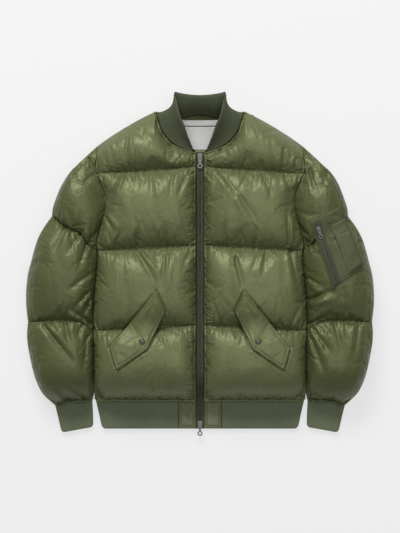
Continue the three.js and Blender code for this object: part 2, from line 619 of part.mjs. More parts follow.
const jacket = new THREE.Group();
const fronts = {};
const sleeveTops = {};
const back = piece('back', backPanel(), 'shell');
jacket.add(back);
const sleeveOutline = sleeveRows();
for (const [name, side] of [['right', -1], ['left', 1]]) {
  fronts[name] = piece(`front_${name}`, paddedPanel(frontRows, frontHeight, { side }), 'shell');
  sleeveTops[name] = piece(`sleeve_${name}_top`, paddedPanel(sleeveOutline, sleeveHeight, { side }), 'sleeve');
  jacket.add(fronts[name], sleeveTops[name]);
  const under = paddedPanel(sleeveOutline, sleeveHeight, { side, up: -1 });
  jacket.add(piece(`sleeve_${name}_under`, under, 'sleeve'));
  const band = hemBand(HEM_TAB.to + SEAM_GAP, 1);
  const hemFront = solidBetween(mirroredX(band.outer, side), mirroredX(band.inner, side));
  jacket.add(piece(`hem_front_${name}`, hemFront, 'rib', 0.9));
  jacket.add(piece(`hem_tab_${name}`, hemTab(side), 'shell'));
  jacket.add(piece(`cuff_${name}`, cuff(side), 'rib', 0.9));
  const flap = piece(`flap_${name}`, laidOn(fronts[name], flapPlan(side), FLAP.thickness), 'shell');
  const snapShape = new THREE.CylinderGeometry(SNAP.crown, SNAP.radius, SNAP.height, SNAP.sides);
  const snap = piece(`snap_${name}`, snapShape.rotateX(Math.PI / 2), 'metal', 0.4, 0.8);
  const snapHeight = surfaceUnder(flap)(side * SNAP.x, SNAP.y);
  snap.position.set(side * SNAP.x, SNAP.y, snapHeight + SNAP.lift + SNAP.height / 2);
  jacket.add(flap, snap);
}
const hemBack = hemBand(0, -1);
jacket.add(piece('hem_back', solidBetween(hemBack.outer, hemBack.inner), 'rib', 0.9));
jacket.add(piece('collar', collar(), 'rib', 0.9));
jacket.add(piece('zip_tape', zipTape(), 'zip', 0.9));
jacket.add(piece('neck_label', laidOn(back, labelPlan(), LABEL.thickness), 'label', 0.8));

function zipPlace(y) {
  return new THREE.Matrix4().makeTranslation(0, y, tapeHeight(y) + TAPE.thickness + SEAM_GAP - SLIDER.bottom);
}
jacket.add(sliderWithPull(['slider_top', 'pull_top'], zipPlace(TOP_SLIDER_Y)));
jacket.add(sliderWithPull(['slider_bottom', 'pull_bottom'], zipPlace(BOTTOM_SLIDER_Y)));

const pocket = piece('sleeve_pocket', laidOn(sleeveTops.left, pocketPlan(POCKET.cells), POCKET.thickness), 'sleeve');
const onPocket = ({ cells, across, down, thickness }) => (
  laidOn(pocket, pocketPlan(cells, across, down), thickness, ON_POCKET));
const pocketZip = piece('pocket_zip_tape', onPocket(POCKET_ZIP), 'zip', 0.9);
jacket.add(pocket, piece('pen_pocket', onPocket(PEN_POCKET), 'sleeve'), pocketZip);

// The place of the pocket's slider: on the zip's tape, tilted as the tape is there.
function pocketSliderPlace() {
  const { from, to, halfWidth, lift, scale } = POCKET_SLIDER;
  const centre = (POCKET_ZIP.across[0] + POCKET_ZIP.across[1]) / 2;
  const [[start], [end]] = pocketPlan([1, 1], [centre, 1], [from, to]);
  const heightAt = surfaceUnder(pocketZip);
  const on = (point) => new THREE.Vector3(point.x, point.y, heightAt(point.x, point.y));
  const rear = on(start).sub(on(end)).normalize();
  const beside = new THREE.Vector2(end.y - start.y, start.x - end.x).normalize().multiplyScalar(halfWidth);
  const right = on(start.clone().sub(beside)).sub(on(start.clone().add(beside))).normalize();
  const up = right.clone().cross(rear).normalize();
  const place = new THREE.Matrix4().makeBasis(rear.clone().cross(up), rear, up);
  return place.setPosition(on(start).addScaledVector(up, lift - SLIDER.bottom * scale));
}
jacket.add(sliderWithPull(['pocket_slider', 'pocket_pull'], pocketSliderPlace(), POCKET_SLIDER.scale));

// The origin is the middle of the underside.
const box = new THREE.Box3().setFromObject(jacket);
const middle = box.getCenter(new THREE.Vector3());
jacket.position.set(-middle.x, -middle.y, -box.min.z);

export default jacket;
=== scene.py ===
"""Looks of a padded bomber jacket that lies on its back with the front up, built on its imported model."""
import math

import bpy
import numpy as np
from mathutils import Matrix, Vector, noise
from mathutils.bvhtree import BVHTree


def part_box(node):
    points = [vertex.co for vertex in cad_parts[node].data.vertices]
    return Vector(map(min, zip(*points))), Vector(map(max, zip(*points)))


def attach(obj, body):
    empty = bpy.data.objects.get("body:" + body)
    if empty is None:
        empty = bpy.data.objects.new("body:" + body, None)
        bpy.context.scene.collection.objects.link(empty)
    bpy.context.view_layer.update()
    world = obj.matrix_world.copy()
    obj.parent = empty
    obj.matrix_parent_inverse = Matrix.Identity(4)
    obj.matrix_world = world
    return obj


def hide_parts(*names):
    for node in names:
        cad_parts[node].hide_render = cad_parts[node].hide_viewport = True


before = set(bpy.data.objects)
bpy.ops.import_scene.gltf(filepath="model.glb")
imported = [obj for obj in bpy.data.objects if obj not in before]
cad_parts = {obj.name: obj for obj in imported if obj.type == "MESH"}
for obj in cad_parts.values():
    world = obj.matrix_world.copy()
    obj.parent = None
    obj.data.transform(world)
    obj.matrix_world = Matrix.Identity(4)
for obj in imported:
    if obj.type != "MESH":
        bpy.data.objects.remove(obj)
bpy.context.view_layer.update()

# Plans are in millimetres, in the plan's own frame: X to the wearer's left, Y from hem to collar.
# Tables give the left half. Left and right are the wearer's.
MM = 0.001


def middle_of(name):
    """Where the middle of one of the model's own pieces is, seen from above."""
    low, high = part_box(name)
    return (low.x + high.x) / 2, (low.y + high.y) / 2


SNAP_PLACE = (129, -169)
PLAN_Y = middle_of("snap_left")[1] - SNAP_PLACE[1] * MM
slider_x, slider_y = middle_of("pocket_slider")
POCKET_SLIDER_PLACE = (slider_x / MM, (slider_y - PLAN_Y) / MM)

SEAM_GAP = 0.4
LAYER_GAP = 0.6

# Materials: spread and strength of the clouds in their colour, small wrinkles, and the bump of the weave.
CLOTH_CLOUDS = (26, 9, 26)
PLAIN_CLOUDS = (220, 220, 220)
PLAIN_WEAR = 0.06
WRINKLES = {"Scale": 50.0, "Detail": 3.0, "Distortion": 0.9}
WAVES_PER_SCALE = 20
WEAVE = {"Strength": 0.12, "Distance": 0.1 * MM}
SATIN = {
    "thread": 0.5, "roughness": 0.44, "glow": (0.78, 0.85, 0.5), "shine": 0.6, "cloudiness": 0.12,
    "crumple": 1.3,
}

# Plan of the body, from the zip to the side seam. The side is given as (y, x), each quilting line by its
# heights at the zip and at the side.
ZIP_EDGE = 8.5
NECK = [
    (8.5, 255), (16, 255.5), (31, 260), (44, 264.5), (61, 273), (74, 285), (85, 300), (92, 317),
    (96, 330), (99.5, 346),
]
BACK_NECK = [(0, 345.5), (30, 345), (60, 344), (85, 345), (99.5, 346)]
SHOULDER = [(99.5, 346), (149, 321), (197, 292), (230.6, 268)]
BODY_SIDE = [
    (268, 230.6), (237, 232.9), (210, 234), (192, 225.4), (159, 213.3), (120, 214.4), (80, 225.4),
    (46, 233), (17, 231.8), (-21, 234.5), (-78, 239.5), (-123, 240.5), (-155, 240), (-289, 238.5),
    (-303, 238.5),
]
QUILTING = [(221.6, 206), (46, 34), (-133, -145), (-302.6, -303)]
HEM_SEAM = -303
HEM_END = -370

# Plan of a sleeve: each channel's outer edge as (y, x), and its lower stitch line as (x, y) from the outer
# edge inwards. The inner edge is again (y, x).
SLEEVE_OUTER = [
    [(268, 231.1), (237, 265), (210, 292), (183, 310), (156, 322), (129, 331), (111, 333)],
    [(111, 333), (89, 349), (62, 364), (35, 373), (8, 380), (-19, 387), (-55, 391), (-89, 391), (-127, 387)],
    [(-127, 387), (-154, 389), (-181, 387), (-208, 382), (-235, 376), (-262, 368), (-289, 355), (-317, 328)],
]
SLEEVE_LOWER = [
    [(333, 111), (315, 96), (292, 82), (270, 71), (252, 50), (232.8, 34)],
    [(387, -127), (337, -123), (292, -123), (270, -127), (252, -136), (240, -145)],
    [(328, -317), (312, -311), (297, -305), (280, -305), (243.5, -304)],
]
SLEEVE_SEAM = {"inside": 14, "depth": 0.3, "width": 2.8}
SLEEVE_INNER = [
    (34, 232.4), (17, 231), (-21, 233.6), (-78, 238.8), (-123, 239.8), (-168, 239.2), (-250, 237.8),
    (-285, 238.6), (-303, 242.5),
]

# Padding. Heights are measured from the plane where the front lies on the back.
REST_HEIGHT = 46
HEM_REST = {"height": 6, "from": -350, "to": -235}
NECK_DIP = {"depth": 14, "from": 235, "over": 80, "half_width": 100}
NECK_HOLLOW = {"depth": 13, "at": 335.5, "width": 4.8, "half_length": 30}
BODY_PAD = {"crest": 54, "groove": 23, "full_span": 150, "start_round": 45, "end_round": 75}
SLEEVE_PAD = {"crest": 50, "groove": 26, "full_span": 120, "start_round": 62, "end_round": 55}
EDGE = {"seam": 2, "zip": 12, "neck": 10, "hem": 6, "cuff": 7, "armhole": 22}
SPAN_POWER = 0.75
ARMHOLE_POWER = 0.7
NECK_SHARE = 0.43
ARMHOLE_CORNER_SHARE = 0.75
GROOVE = 1.6
LUMPS = {"size": 45, "depth": 2.5}
SHOULDER_EASE = 0.3

# Seeds of the random draws, so that each run gives the same cloth.
SEED = {"front_lumps": 7.3, "sleeve_lumps": 3.1, "puckers": 5, "front": 20, "back": 40, "sleeve": 60}

# Ridges and stitched grooves beside an edge, each with its distance from the edge, its height and its width.
ZIP_WELTS = [(2.4, 1.4, 1.5), (5.4, -1.8, 1.0)]
NECK_WELTS = [(1.8, 1.8, 1.2), (4.6, -1.5, 0.9), (6.8, 0.9, 1.2)]
NECK_WELT_FADE = 4
HEM_WELTS = [(2, 1.8, 1.4), (5, -1.6, 1.0)]

# Grids of the padded panels. A cell is smaller where it shows, and is halved once the cloth has settled.
# One column of a front starts at the neck's corner, and the kink in the heights there is smoothed out.
CELL = 3.9
HIDDEN_CELL = 6.5
BODY_WIDTH = 232
SLEEVE_WIDTH = 150
CHANNEL_ROWS = {"least": 10, "per_cell": 1.12}
NECK_COLUMN_PULL = 0.15
KINK = {"reach": 7, "edge_rows": 6}

# Cloth that is wider than its stitched lines puffs up in a short cloth simulation.
SETTLE = {"frames": 20, "surplus": 0.022, "reach": 8}
CLOTH = {
    "quality": 4, "mass": 0.01, "air_damping": 1.5, "tension_stiffness": 20, "compression_stiffness": 20,
    "shear_stiffness": 8, "bending_stiffness": 0.05, "tension_damping": 8, "compression_damping": 8,
    "shrink_min": -SETTLE["surplus"], "use_pressure": True, "uniform_pressure_force": 26,
}

# Small creases that fan out from a stitched line, and from the zip. Pairs are bounds of random shares.
GATHER = {
    "spacing": 9, "depth": 2.3, "width": 1.35, "length": 22, "slant": 0.3, "starts": (0.3, 1),
    "steps": (0.45, 1.7), "lengths": (0.5, 1.4), "depths": (0.4, 1.5), "widths": (0.7, 1.5),
    "long_share": 0.28, "long": 64, "long_width": 1.6, "at_top": 0.5,
}
PUCKER = {
    "spacing": 8, "depth": 1.5, "width": 1.2, "length": 12, "beside_zip": 5, "slant": (0.2, 0.5),
    "steps": (0.5, 1.8), "lengths": (0.5, 1.7), "depths": (0.4, 1.6),
}

# Form of every crease, the unevenness of the cloth between creases, and how near its edges both fade.
CREASE = {"widening": 0.8, "roundness": 1.4, "ridge_at": 2.1, "ridge_width": 1.5, "ridge": 0.55, "reach": 7}
CRUMPLE = {"depth": 0.7, "near_depth": 1.6, "near": 20, "across": 10, "down": 24, "level": 0.25}
UNEVEN = {"size": 26, "depth": 1.1, "down": 0.45}
EDGE_FADE = 5
FOLD_STRENGTH = 2.3
FOLD_WIDTH = 0.58

# Main creases, each from its deep end to its shallow one, with depth and width.
FRONT_RIGHT_FOLDS = [
    (142, 46, 134, 100, 3.0, 6), (74, 46, 80, 102, 2.6, 6), (137, 26, 97, -39, 3.4, 6),
    (79, 24, 84, -55, 2.8, 6), (178, 200, 211, 120, 3.4, 5), (160, 289, 168, 230, 3.0, 5),
    (211, 109, 190, 72, 2.6, 5), (14, 208, 28, 196, 1.8, 3), (12, 58, 30, 46, 1.8, 3),
    (12, 30, 40, 8, 1.6, 4), (60, 205, 66, 150, 1.6, 6), (110, 203, 104, 130, 1.6, 8),
    (30, 200, 52, 150, 1.8, 5), (190, 40, 170, 95, 2.0, 6),
]
FRONT_LEFT_FOLDS = [
    (16, 242, 56, 264, 2.6, 5), (40, 215, 90, 152, 3.2, 7), (90, 152, 126, 98, 2.2, 8),
    (140, 204, 162, 152, 2.6, 6), (189, 201, 209, 152, 2.6, 6), (198, 46, 194, 136, 3.0, 5),
    (187, 260, 186, 212, 2.4, 5), (214, 238, 212, 204, 2.2, 5), (79, 17, 97, -55, 3.2, 6),
    (202, 35, 225, -78, 2.6, 7), (60, 44, 52, 96, 2.2, 6), (120, 44, 128, 92, 2.0, 6),
    (14, 206, 30, 186, 2.0, 3), (13, 60, 26, 84, 1.6, 3), (150, 30, 138, -30, 2.0, 7),
]
SLEEVE_RIGHT_FOLDS = [
    (239, -132, 298, -92, 3.4, 6), (240, -112, 268, -60, 2.2, 6), (262, -134, 276, -162, 2.4, 6),
    (242, -150, 275, -200, 1.4, 3), (247, -78, 262, -118, 3.6, 5), (250, -60, 290, -108, 3.4, 6),
    (246, -20, 300, -60, 2.6, 7), (249, 240, 237, 217, 2.6, 4), (349, -134, 275, -224, 3.2, 8),
    (262, 78, 300, 20, 2.6, 7), (252, 50, 272, -10, 3.0, 6), (300, 84, 330, 20, 2.0, 7),
    (252, -160, 262, -250, 2.6, 7), (300, -128, 290, -190, 2.2, 7), (262, -300, 290, -262, 2.8, 5),
    (300, -305, 322, -270, 2.2, 5),
]
SLEEVE_LEFT_FOLDS = [
    (240, -132, 296, -106, 3.4, 6), (240, -104, 262, -60, 1.8, 6), (262, -132, 282, -158, 2.6, 6),
    (242, -150, 262, -205, 1.2, 3), (252, -140, 296, -205, 3.2, 7), (250, -165, 280, -250, 3.0, 7),
    (256, -285, 292, -310, 2.4, 5), (328, -307, 364, -289, 2.6, 5), (244, -77, 300, -53, 5.0, 8),
    (246, -30, 290, -60, 2.4, 7), (300, -126, 318, -200, 2.0, 7), (355, -130, 345, -210, 2.0, 7),
    (270, 72, 262, 20, 2.4, 6), (300, 86, 296, 120, 2.0, 6), (246, 215, 262, 150, 2.4, 6),
    (352, 68, 362, 10, 1.8, 6),
]

# Rib knit, and the pieces made of it.
RIB = {"pitch": 4.5, "depth": 0.9, "wall": 4.4, "points": 6}
HEM_HALF_WIDTH = {"seam": 236, "end": 222}
HEM_CORNER = 9
HEM_ROUND = {"side": 7, "side_share": 0.25, "end": 4, "end_share": 0.15}
CUFF = {
    "half_slit": 0.5, "corner": 9, "seam_gap": 0.7, "end": [(314, -379), (242, -366)], "length": 65,
    "end_round": 3, "end_share": 0.3,
}
COLLAR = {
    "wall": 4, "swell": 5, "full_height": 40, "ribs": 46, "rows": 15, "round_from": 0.93,
    "round_over": 0.07, "thinning": 0.8,
}
COLLAR_SEAM = [
    (16.5, 257.5, 56.5), (31, 261.5, 57), (43.5, 266.5, 57.5), (60, 275.5, 57.5), (72.5, 287.5, 57.5),
    (83.5, 302.5, 57.5), (89.5, 318, 57.5), (93, 330, 57), (95.5, 338, 51), (88, 341, 44),
    (66, 338, 38), (40, 332, 38), (20, 337.5, 36), (0, 340, 35),
]
COLLAR_TOP = [
    (17, 264.5, 61), (22, 279, 71), (27, 292, 79), (34, 313, 88), (43, 334, 92), (48, 354, 90),
    (52, 371, 85), (55.5, 381.5, 80), (55, 387, 76), (48, 385.5, 73), (33, 383, 71), (17, 381, 70),
    (0, 380, 70),
]

# The closed zip. Heights of its tape are over the plane where the front lies on the back.
TAPE = {
    "thickness": 1.3, "edge": 0.8, "cell": 1.35, "lift": 8, "hem_lift": 2.2, "ramp": 40, "top": 255,
    "bottom": -370,
}
TEETH = {"top": 246, "bottom": -354, "lift": 0.3, "points": 200}
TEETH_SIZES = {"Pitch": 1.5, "Width": 3.4, "Length": 1.7, "Height": 2.0, "Spread": 1.1}
ZIP_STITCHES = {"beside": 5.4, "top": 247, "above_hem": 5}

# Stitches: sizes of one, and the step and the height over the cloth of the line that carries them.
STITCH_SIZES = {"Pitch": 3.6, "Length": 2.6, "Thickness": 0.75}
STITCH_STEP = 3.0
STITCH_LIFT = 0.1

# Every laid piece: how thin it is at its edge and at least, its stitched grooves and its unevenness. Its
# cloth spans hollows, and high spots under it are widened by so many cells.
PATCH = {
    "edge_share": 0.35, "least": 0.15, "groove": 0.6, "groove_width": 1.1, "fade": 8, "lump_size": 16,
    "lumps": 0.6, "folds": 1.5,
}
LAID_LIFT = 0.6
SPOT_REACH = 3
ON_POCKET = {"lift": 0.3, "passes": 30}
HEM_TAB = {
    "from": 9.5, "to": 49.5, "thickness": 5, "edge": 2.5, "cell": 1.3, "grooves": (1.8, 5.6),
    "stitches": (1.6, 5.6),
}

# Strips along seams.
STRIP = {"cell": 1.6, "columns": 7, "wander_size": 18, "wander_seed": 3, "passes": 20}
HEM_STRIP = {"width": 5, "edge": 2.5, "thickness": 3.2, "wander": 1.6}
NECK_CORD = {"width": 3.4, "edge": 1.7, "thickness": 1.9, "wander": 0.3}
NECK_CORD_LINE = {"from": 0.02, "to": 0.95, "points": 60, "aside": (2.2, -2.2)}
HEM_STRIP_LINE = [(9.5, -303.8), (234, -303.8)]
CUFF_STRIP_LINE = [(325, -317.5), (312, -312.2), (297, -306.2), (280, -306.2), (249, -304.5)]
STRIP_LIFT = {"hem": 1.0, "cuff": 0.6, "neck": -0.4}

# Pieces that are laid on panels. The flap's corners run from its inner upper one outwards and back.
FLAP = {
    "corners": [(97, -58), (201, -182), (186, -232), (117, -186), (78, -104)], "thickness": 4.4, "edge": 2,
    "cell": 2.0, "grooves": (5.4,), "stitches": (1.6, 5.4),
}
FLAP_DENT = {"outside": 1.2, "depth": 1.2, "width": 3}
SNAP_SIDES = 48
SNAP_PROFILE = [
    (7.6, -0.8), (7.6, 0.5), (7.3, 1.3), (6.7, 1.6), (6.2, 1.2), (5.9, 1.3), (5.5, 2.2), (4.2, 2.7),
    (2, 2.9),
]
POCKET = {
    "corners": [(245, 98), (315, 134), (366, 2), (294, -54)], "thickness": 2.6, "edge": 2, "cell": 2.2,
    "grooves": (1.8, 5.6), "stitches": (1.8, 5.6), "fitted": 30,
}
PEN_FOLDS = [
    (289, 89, 310, 66, 3.0, 3), (312, 68, 336, 79, 1.6, 2), (310, 64, 331, -18, 1.6, 2),
    (331, -18, 310, 64, 1.2, 2),
]
PEN_POCKET = {
    "across": (0.52, 0.96), "down": (0.2, 0.96), "thickness": 1.5, "edge": 2, "cell": 1.8, "grooves": (1.6,),
}
POCKET_ZIP = {
    "across": (0.05, 0.27), "down": (0.04, 0.97), "thickness": 1.2, "edge": 0.8, "cell": 1.6,
    "teeth_lift": 0.2,
}
POCKET_TEETH_SIZES = {"Pitch": 1.2, "Width": 2.6, "Length": 1.3, "Height": 1.4, "Spread": 0.8}
LABELS = {
    "label_patch_woven": {"corners": [(-34, 312.5), (40, 312.5), (40, 260), (-34, 260)], "thickness": 0.6,
                          "edge": 0.8, "cell": 2.5, "lift": 0.4},
    "label_strip_woven": {"corners": [(-42, 328), (41, 328), (41, 314), (-42, 314)], "thickness": 0.8,
                          "edge": 0.8, "cell": 2.5, "lift": 1.1},
}
HEM_TAB_FOLDS = {
    "right": [(14, -312, 44, -352, 2.0, 3), (46, -318, 20, -360, 1.6, 3), (30, -308, 26, -340, 1.4, 3)],
    "left": [(40, -366, 34, -330, 0.5, 3), (16, -310, 24, -336, 0.5, 3)],
}
FLAP_FOLDS = [
    (134, -160, 168, -176, 1.1, 3), (126, -176, 142, -196, 0.9, 3), (104, -84, 128, -150, 0.7, 3),
    (150, -132, 138, -160, 0.7, 3), (92, -112, 112, -142, 0.6, 3), (178, -196, 160, -206, 0.7, 3),
]
POCKET_FOLDS = [
    (282, 116, 287, 132, 1.8, 3), (280, 84, 322, -48, 1.6, 2), (288, 90, 306, 62, 2.0, 4),
    (300, 112, 332, 100, 1.4, 4), (292, 40, 300, -30, 1.0, 3), (306, 62, 293, 50, 1.6, 3),
    (293, 50, 310, 0, 1.2, 2), (316, 64, 330, -16, 1.2, 2), (340, 60, 306, 66, 1.0, 3),
]


def lerp(a, b, t):
    return a + (b - a) * t


def smooth(t):
    t = np.clip(t, 0, 1)
    return t * t * (3 - 2 * t)


def bulge(value):
    return np.sqrt(1 - (1 - np.clip(value, 0, 1)) ** 2)


def curve_through(rows):
    """A smooth curve through rows of (from, to), as a function that reads one against the other."""
    rows = sorted(rows)
    at, to = np.array(rows, float).T
    before = np.r_[0, np.arange(len(at) - 1)]
    after = np.r_[np.arange(1, len(at)), len(at) - 1]
    slopes = (to[after] - to[before]) / (at[after] - at[before])

    def read(value):
        i = np.clip(np.searchsorted(at, value) - 1, 0, len(at) - 2)
        step = at[i + 1] - at[i]
        t = np.clip((value - at[i]) / step, 0, 1)
        eased = lerp(to[i], to[i + 1], t * t * (3 - 2 * t))
        return eased + slopes[i] * step * t * (1 - t) ** 2 + slopes[i + 1] * step * t * t * (t - 1)

    return read


def along(points, shares, samples=400):
    """Points at these shares of the length of a smooth line through the given points."""
    points = np.array(points, float)
    padded = np.vstack([points[0], points, points[-1]])
    t = np.linspace(0, len(points) - 1, samples)
    i = np.minimum(t.astype(int), len(points) - 2)
    f = (t - i)[:, None]
    p0, p1, p2, p3 = (padded[i + k] for k in range(4))
    v0, v1 = (p2 - p0) / 2, (p3 - p1) / 2
    line = (2 * p1 - 2 * p2 + v0 + v1) * f**3 + (-3 * p1 + 3 * p2 - 2 * v0 - v1) * f**2 + v0 * f + p1
    length = np.r_[0, np.cumsum(np.linalg.norm(np.diff(line, axis=0), axis=1))]
    return read_along(line, length, shares)


def read_along(line, length, shares):
    """Points at these shares of a line's length, given the length up to each of its points."""
    return np.stack([np.interp(np.asarray(shares) * length[-1], length, line[:, k])
                     for k in range(line.shape[1])], -1)


def straight(points, shares):
    """Points at these shares of the length of a line with corners."""
    points = np.array(points, float)
    length = np.r_[0, np.cumsum(np.linalg.norm(np.diff(points, axis=0), axis=1))]
    return read_along(points, length, shares)


def closer_at_ends(count, pull=0.45):
    """Shares from 0 to 1 that lie closer together at both ends."""
    s = np.linspace(0, 1, count + 1)
    return lerp(s, (1 - np.cos(np.pi * s)) / 2, pull)


def layer_height(y):
    """Height of the plane where the front lies on the back."""
    share = smooth((y - HEM_REST["from"]) / (HEM_REST["to"] - HEM_REST["from"]))
    return lerp(HEM_REST["height"], REST_HEIGHT, share)


def neck_dip(x, y):
    """How far the back sinks below the neck opening, with a hollow under the collar's seam."""
    hollow = NECK_HOLLOW["depth"] * np.exp(-((y - NECK_HOLLOW["at"]) / NECK_HOLLOW["width"]) ** 2)
    sunk = NECK_DIP["depth"] * smooth((y - NECK_DIP["from"]) / NECK_DIP["over"]) * (
        1 - smooth(np.abs(x) / NECK_DIP["half_width"]))
    length = NECK_HOLLOW["half_length"]
    return sunk + hollow * (1 - smooth((np.abs(x) - length) / length))


def fill(top, bottom, start, end, across, down):
    """Rows of plan points that fill the space between two lines and two ends and meet all four."""
    u, t = across[None, :, None], down[:, None, None]
    ruled = lerp(top[None], bottom[None], t) + lerp(start[:, None], end[:, None], u)
    return ruled - lerp(lerp(top[0], top[-1], u), lerp(bottom[0], bottom[-1], u), t)


class Panel:
    """A padded panel's plan: a grid of points, each row's channel and place in it, and the stitched rows."""

    def __init__(self, points, channel, place, spans):
        self.points = points
        self.channel = channel
        self.place = place
        self.spans = spans
        self.stitched = np.flatnonzero((place == 0) | (place == 1))

    @classmethod
    def between(cls, lines, ends, across, cell):
        points, channel, place, spans = [], [], [], []
        for c in range(len(lines) - 1):
            top, bottom = lines[c], lines[c + 1]
            span = np.linalg.norm(top - bottom, axis=1)
            count = round(span.max() * CHANNEL_ROWS["per_cell"] / cell)
            down = closer_at_ends(max(CHANNEL_ROWS["least"], count))
            start, end = ends(c, top, bottom, down)
            rows = fill(top, bottom, start, end, across, down)
            keep = slice(1 if c else 0, None)
            points.append(rows[keep])
            channel += [c] * len(down[keep])
            place += list(down[keep])
            spans += [span] * len(down[keep])
        return cls(np.concatenate(points), np.array(channel), np.array(place), np.array(spans))


def body_panel(neck, inner_x, cell):
    """Half of the body from the zip or the centre line to the side seam."""
    side_x = curve_through(BODY_SIDE)
    across = closer_at_ends(round(BODY_WIDTH / cell))
    k = np.searchsorted(across, NECK_SHARE)
    across += (NECK_SHARE - across[k]) * np.exp(-((across - across[k]) / NECK_COLUMN_PULL) ** 2)
    neck_line = along(neck, across[:k + 1] / NECK_SHARE)
    shoulder = along(SHOULDER, (across[k:] - NECK_SHARE) / (1 - NECK_SHARE))
    lines = [np.vstack([neck_line, shoulder[1:]])]
    for zip_y, side_y in QUILTING:
        lines.append(np.stack([lerp(inner_x, side_x(side_y), across), lerp(zip_y, side_y, across)], -1))

    def ends(channel, top, bottom, down):
        inner_y = lerp(top[0, 1], bottom[0, 1], down)
        side_y = lerp(top[-1, 1], bottom[-1, 1], down)
        inner = np.stack([np.full_like(inner_y, inner_x), inner_y], -1)
        return inner, np.stack([side_x(side_y), side_y], -1)

    panel = Panel.between(lines, ends, across, cell)
    panel.across = across
    panel.neck_column = k
    return panel


def armhole_rise(y):
    """Height of the armhole seam, from the shoulder to the foot of the second channel."""
    share = np.clip((BODY_SIDE[0][0] - y) / (BODY_SIDE[0][0] - QUILTING[1][1]), 0, 1)
    return lerp(EDGE["seam"], EDGE["armhole"], np.sin(np.pi * share) ** ARMHOLE_POWER)


def sleeve_panel(cell):
    """A sleeve whose upper edge follows the armhole. The inner end of its first channel goes on along it."""
    side_x = curve_through(BODY_SIDE)
    inner_x = curve_through(SLEEVE_INNER)
    across = closer_at_ends(round(SLEEVE_WIDTH / cell))
    corner_y = lerp(QUILTING[0][1], QUILTING[1][1], ARMHOLE_CORNER_SHARE)
    top_y = lerp(BODY_SIDE[0][0], corner_y, across)
    lines = [np.stack([side_x(top_y) + SEAM_GAP, top_y], -1)]
    for rows in SLEEVE_LOWER:
        x = lerp(rows[0][0], rows[-1][0], across)
        lines.append(np.stack([x, curve_through(rows)(x)], -1))
    foot_y = QUILTING[1][1]
    lines[1][-1] = (side_x(foot_y) + SEAM_GAP, foot_y)

    def ends(channel, top, bottom, down):
        outer_y = lerp(top[0, 1], bottom[0, 1], down)
        y = lerp(top[-1, 1], bottom[-1, 1], down)
        x = inner_x(y) if channel else side_x(y) + SEAM_GAP
        outer_x = curve_through(SLEEVE_OUTER[channel])(outer_y)
        return np.stack([outer_x, outer_y], -1), np.stack([x, y], -1)

    return Panel.between(lines, ends, across, cell)


def pad_height(panel, edges, pad):
    """Height of the padding: stitched down at the channels' edges and round between them."""
    points, place = panel.points, panel.place[:, None]
    crest = lerp(pad["groove"], pad["crest"], np.minimum(1, panel.spans / pad["full_span"]) ** SPAN_POWER)
    first = panel.channel[:, None] == 0
    last = panel.channel[:, None] == panel.channel.max()
    above = np.where(first, edges["above"], pad["groove"])
    below = np.where(last, edges["below"], pad["groove"])
    rise = np.where(first & (place < 0.5), np.sin(np.pi * place), bulge(2 * np.minimum(place, 1 - place)))
    height = lerp(np.where(place < 0.5, above, below), crest, rise)
    if "start" in edges:
        gone = np.linalg.norm(points - points[:, :1], axis=2)
        height = lerp(edges["start"], height, bulge(gone / pad["start_round"]))
    left = np.linalg.norm(points - points[:, -1:], axis=2)
    return lerp(edges["end"], height, bulge(left / pad["end_round"]))


def rough(points, size, depth, seed):
    """Smooth unevenness for a grid of plan points: lumps of that size and depth."""
    places = (points[..., :2].reshape(-1, 2) / size).tolist()
    return depth * np.array([noise.noise((x, y, seed)) for x, y in places]).reshape(points.shape[:-1])


def eased_across(uneven, middle):
    """Heights with the kink at the middle column smoothed out along the rows, but for the panel's edge."""
    reach = KINK["reach"]
    columns = uneven.shape[1]
    offsets = np.arange(-3 * reach, 3 * reach + 1)
    weights = np.exp(-(offsets / reach) ** 2)
    padded = np.pad(uneven, ((0, 0), (3 * reach, 3 * reach)), mode="edge")
    shifted = (padded[:, 3 * reach + offset:3 * reach + offset + columns] for offset in offsets)
    even = sum(weight * part for weight, part in zip(weights, shifted)) / weights.sum()
    there = np.exp(-((np.arange(columns) - middle) / (2 * reach)) ** 2)
    rows = bulge(np.minimum(1, np.arange(len(uneven)) / KINK["edge_rows"]))[:, None]
    return lerp(uneven, even, there * rows)


def raised(panel, height, up=1, dip=0):
    """The padded surface's points over a panel's plan."""
    x, y = panel.points[..., 0], panel.points[..., 1]
    z = layer_height(y) - dip + up * (LAYER_GAP / 2 + height)
    return np.stack([x, y, np.maximum(z, 0)], -1)


def add_object(name, data):
    """An object in the scene that shows this mesh, light or camera."""
    made = bpy.data.objects.new(name, data)
    bpy.context.scene.collection.objects.link(made)
    return made


def mesh_object(name, points, edges, faces):
    """An object with a mesh of these points, in metres."""
    mesh = bpy.data.meshes.new(name)
    mesh.from_pydata(points.tolist(), edges, faces)
    return add_object(name, mesh)


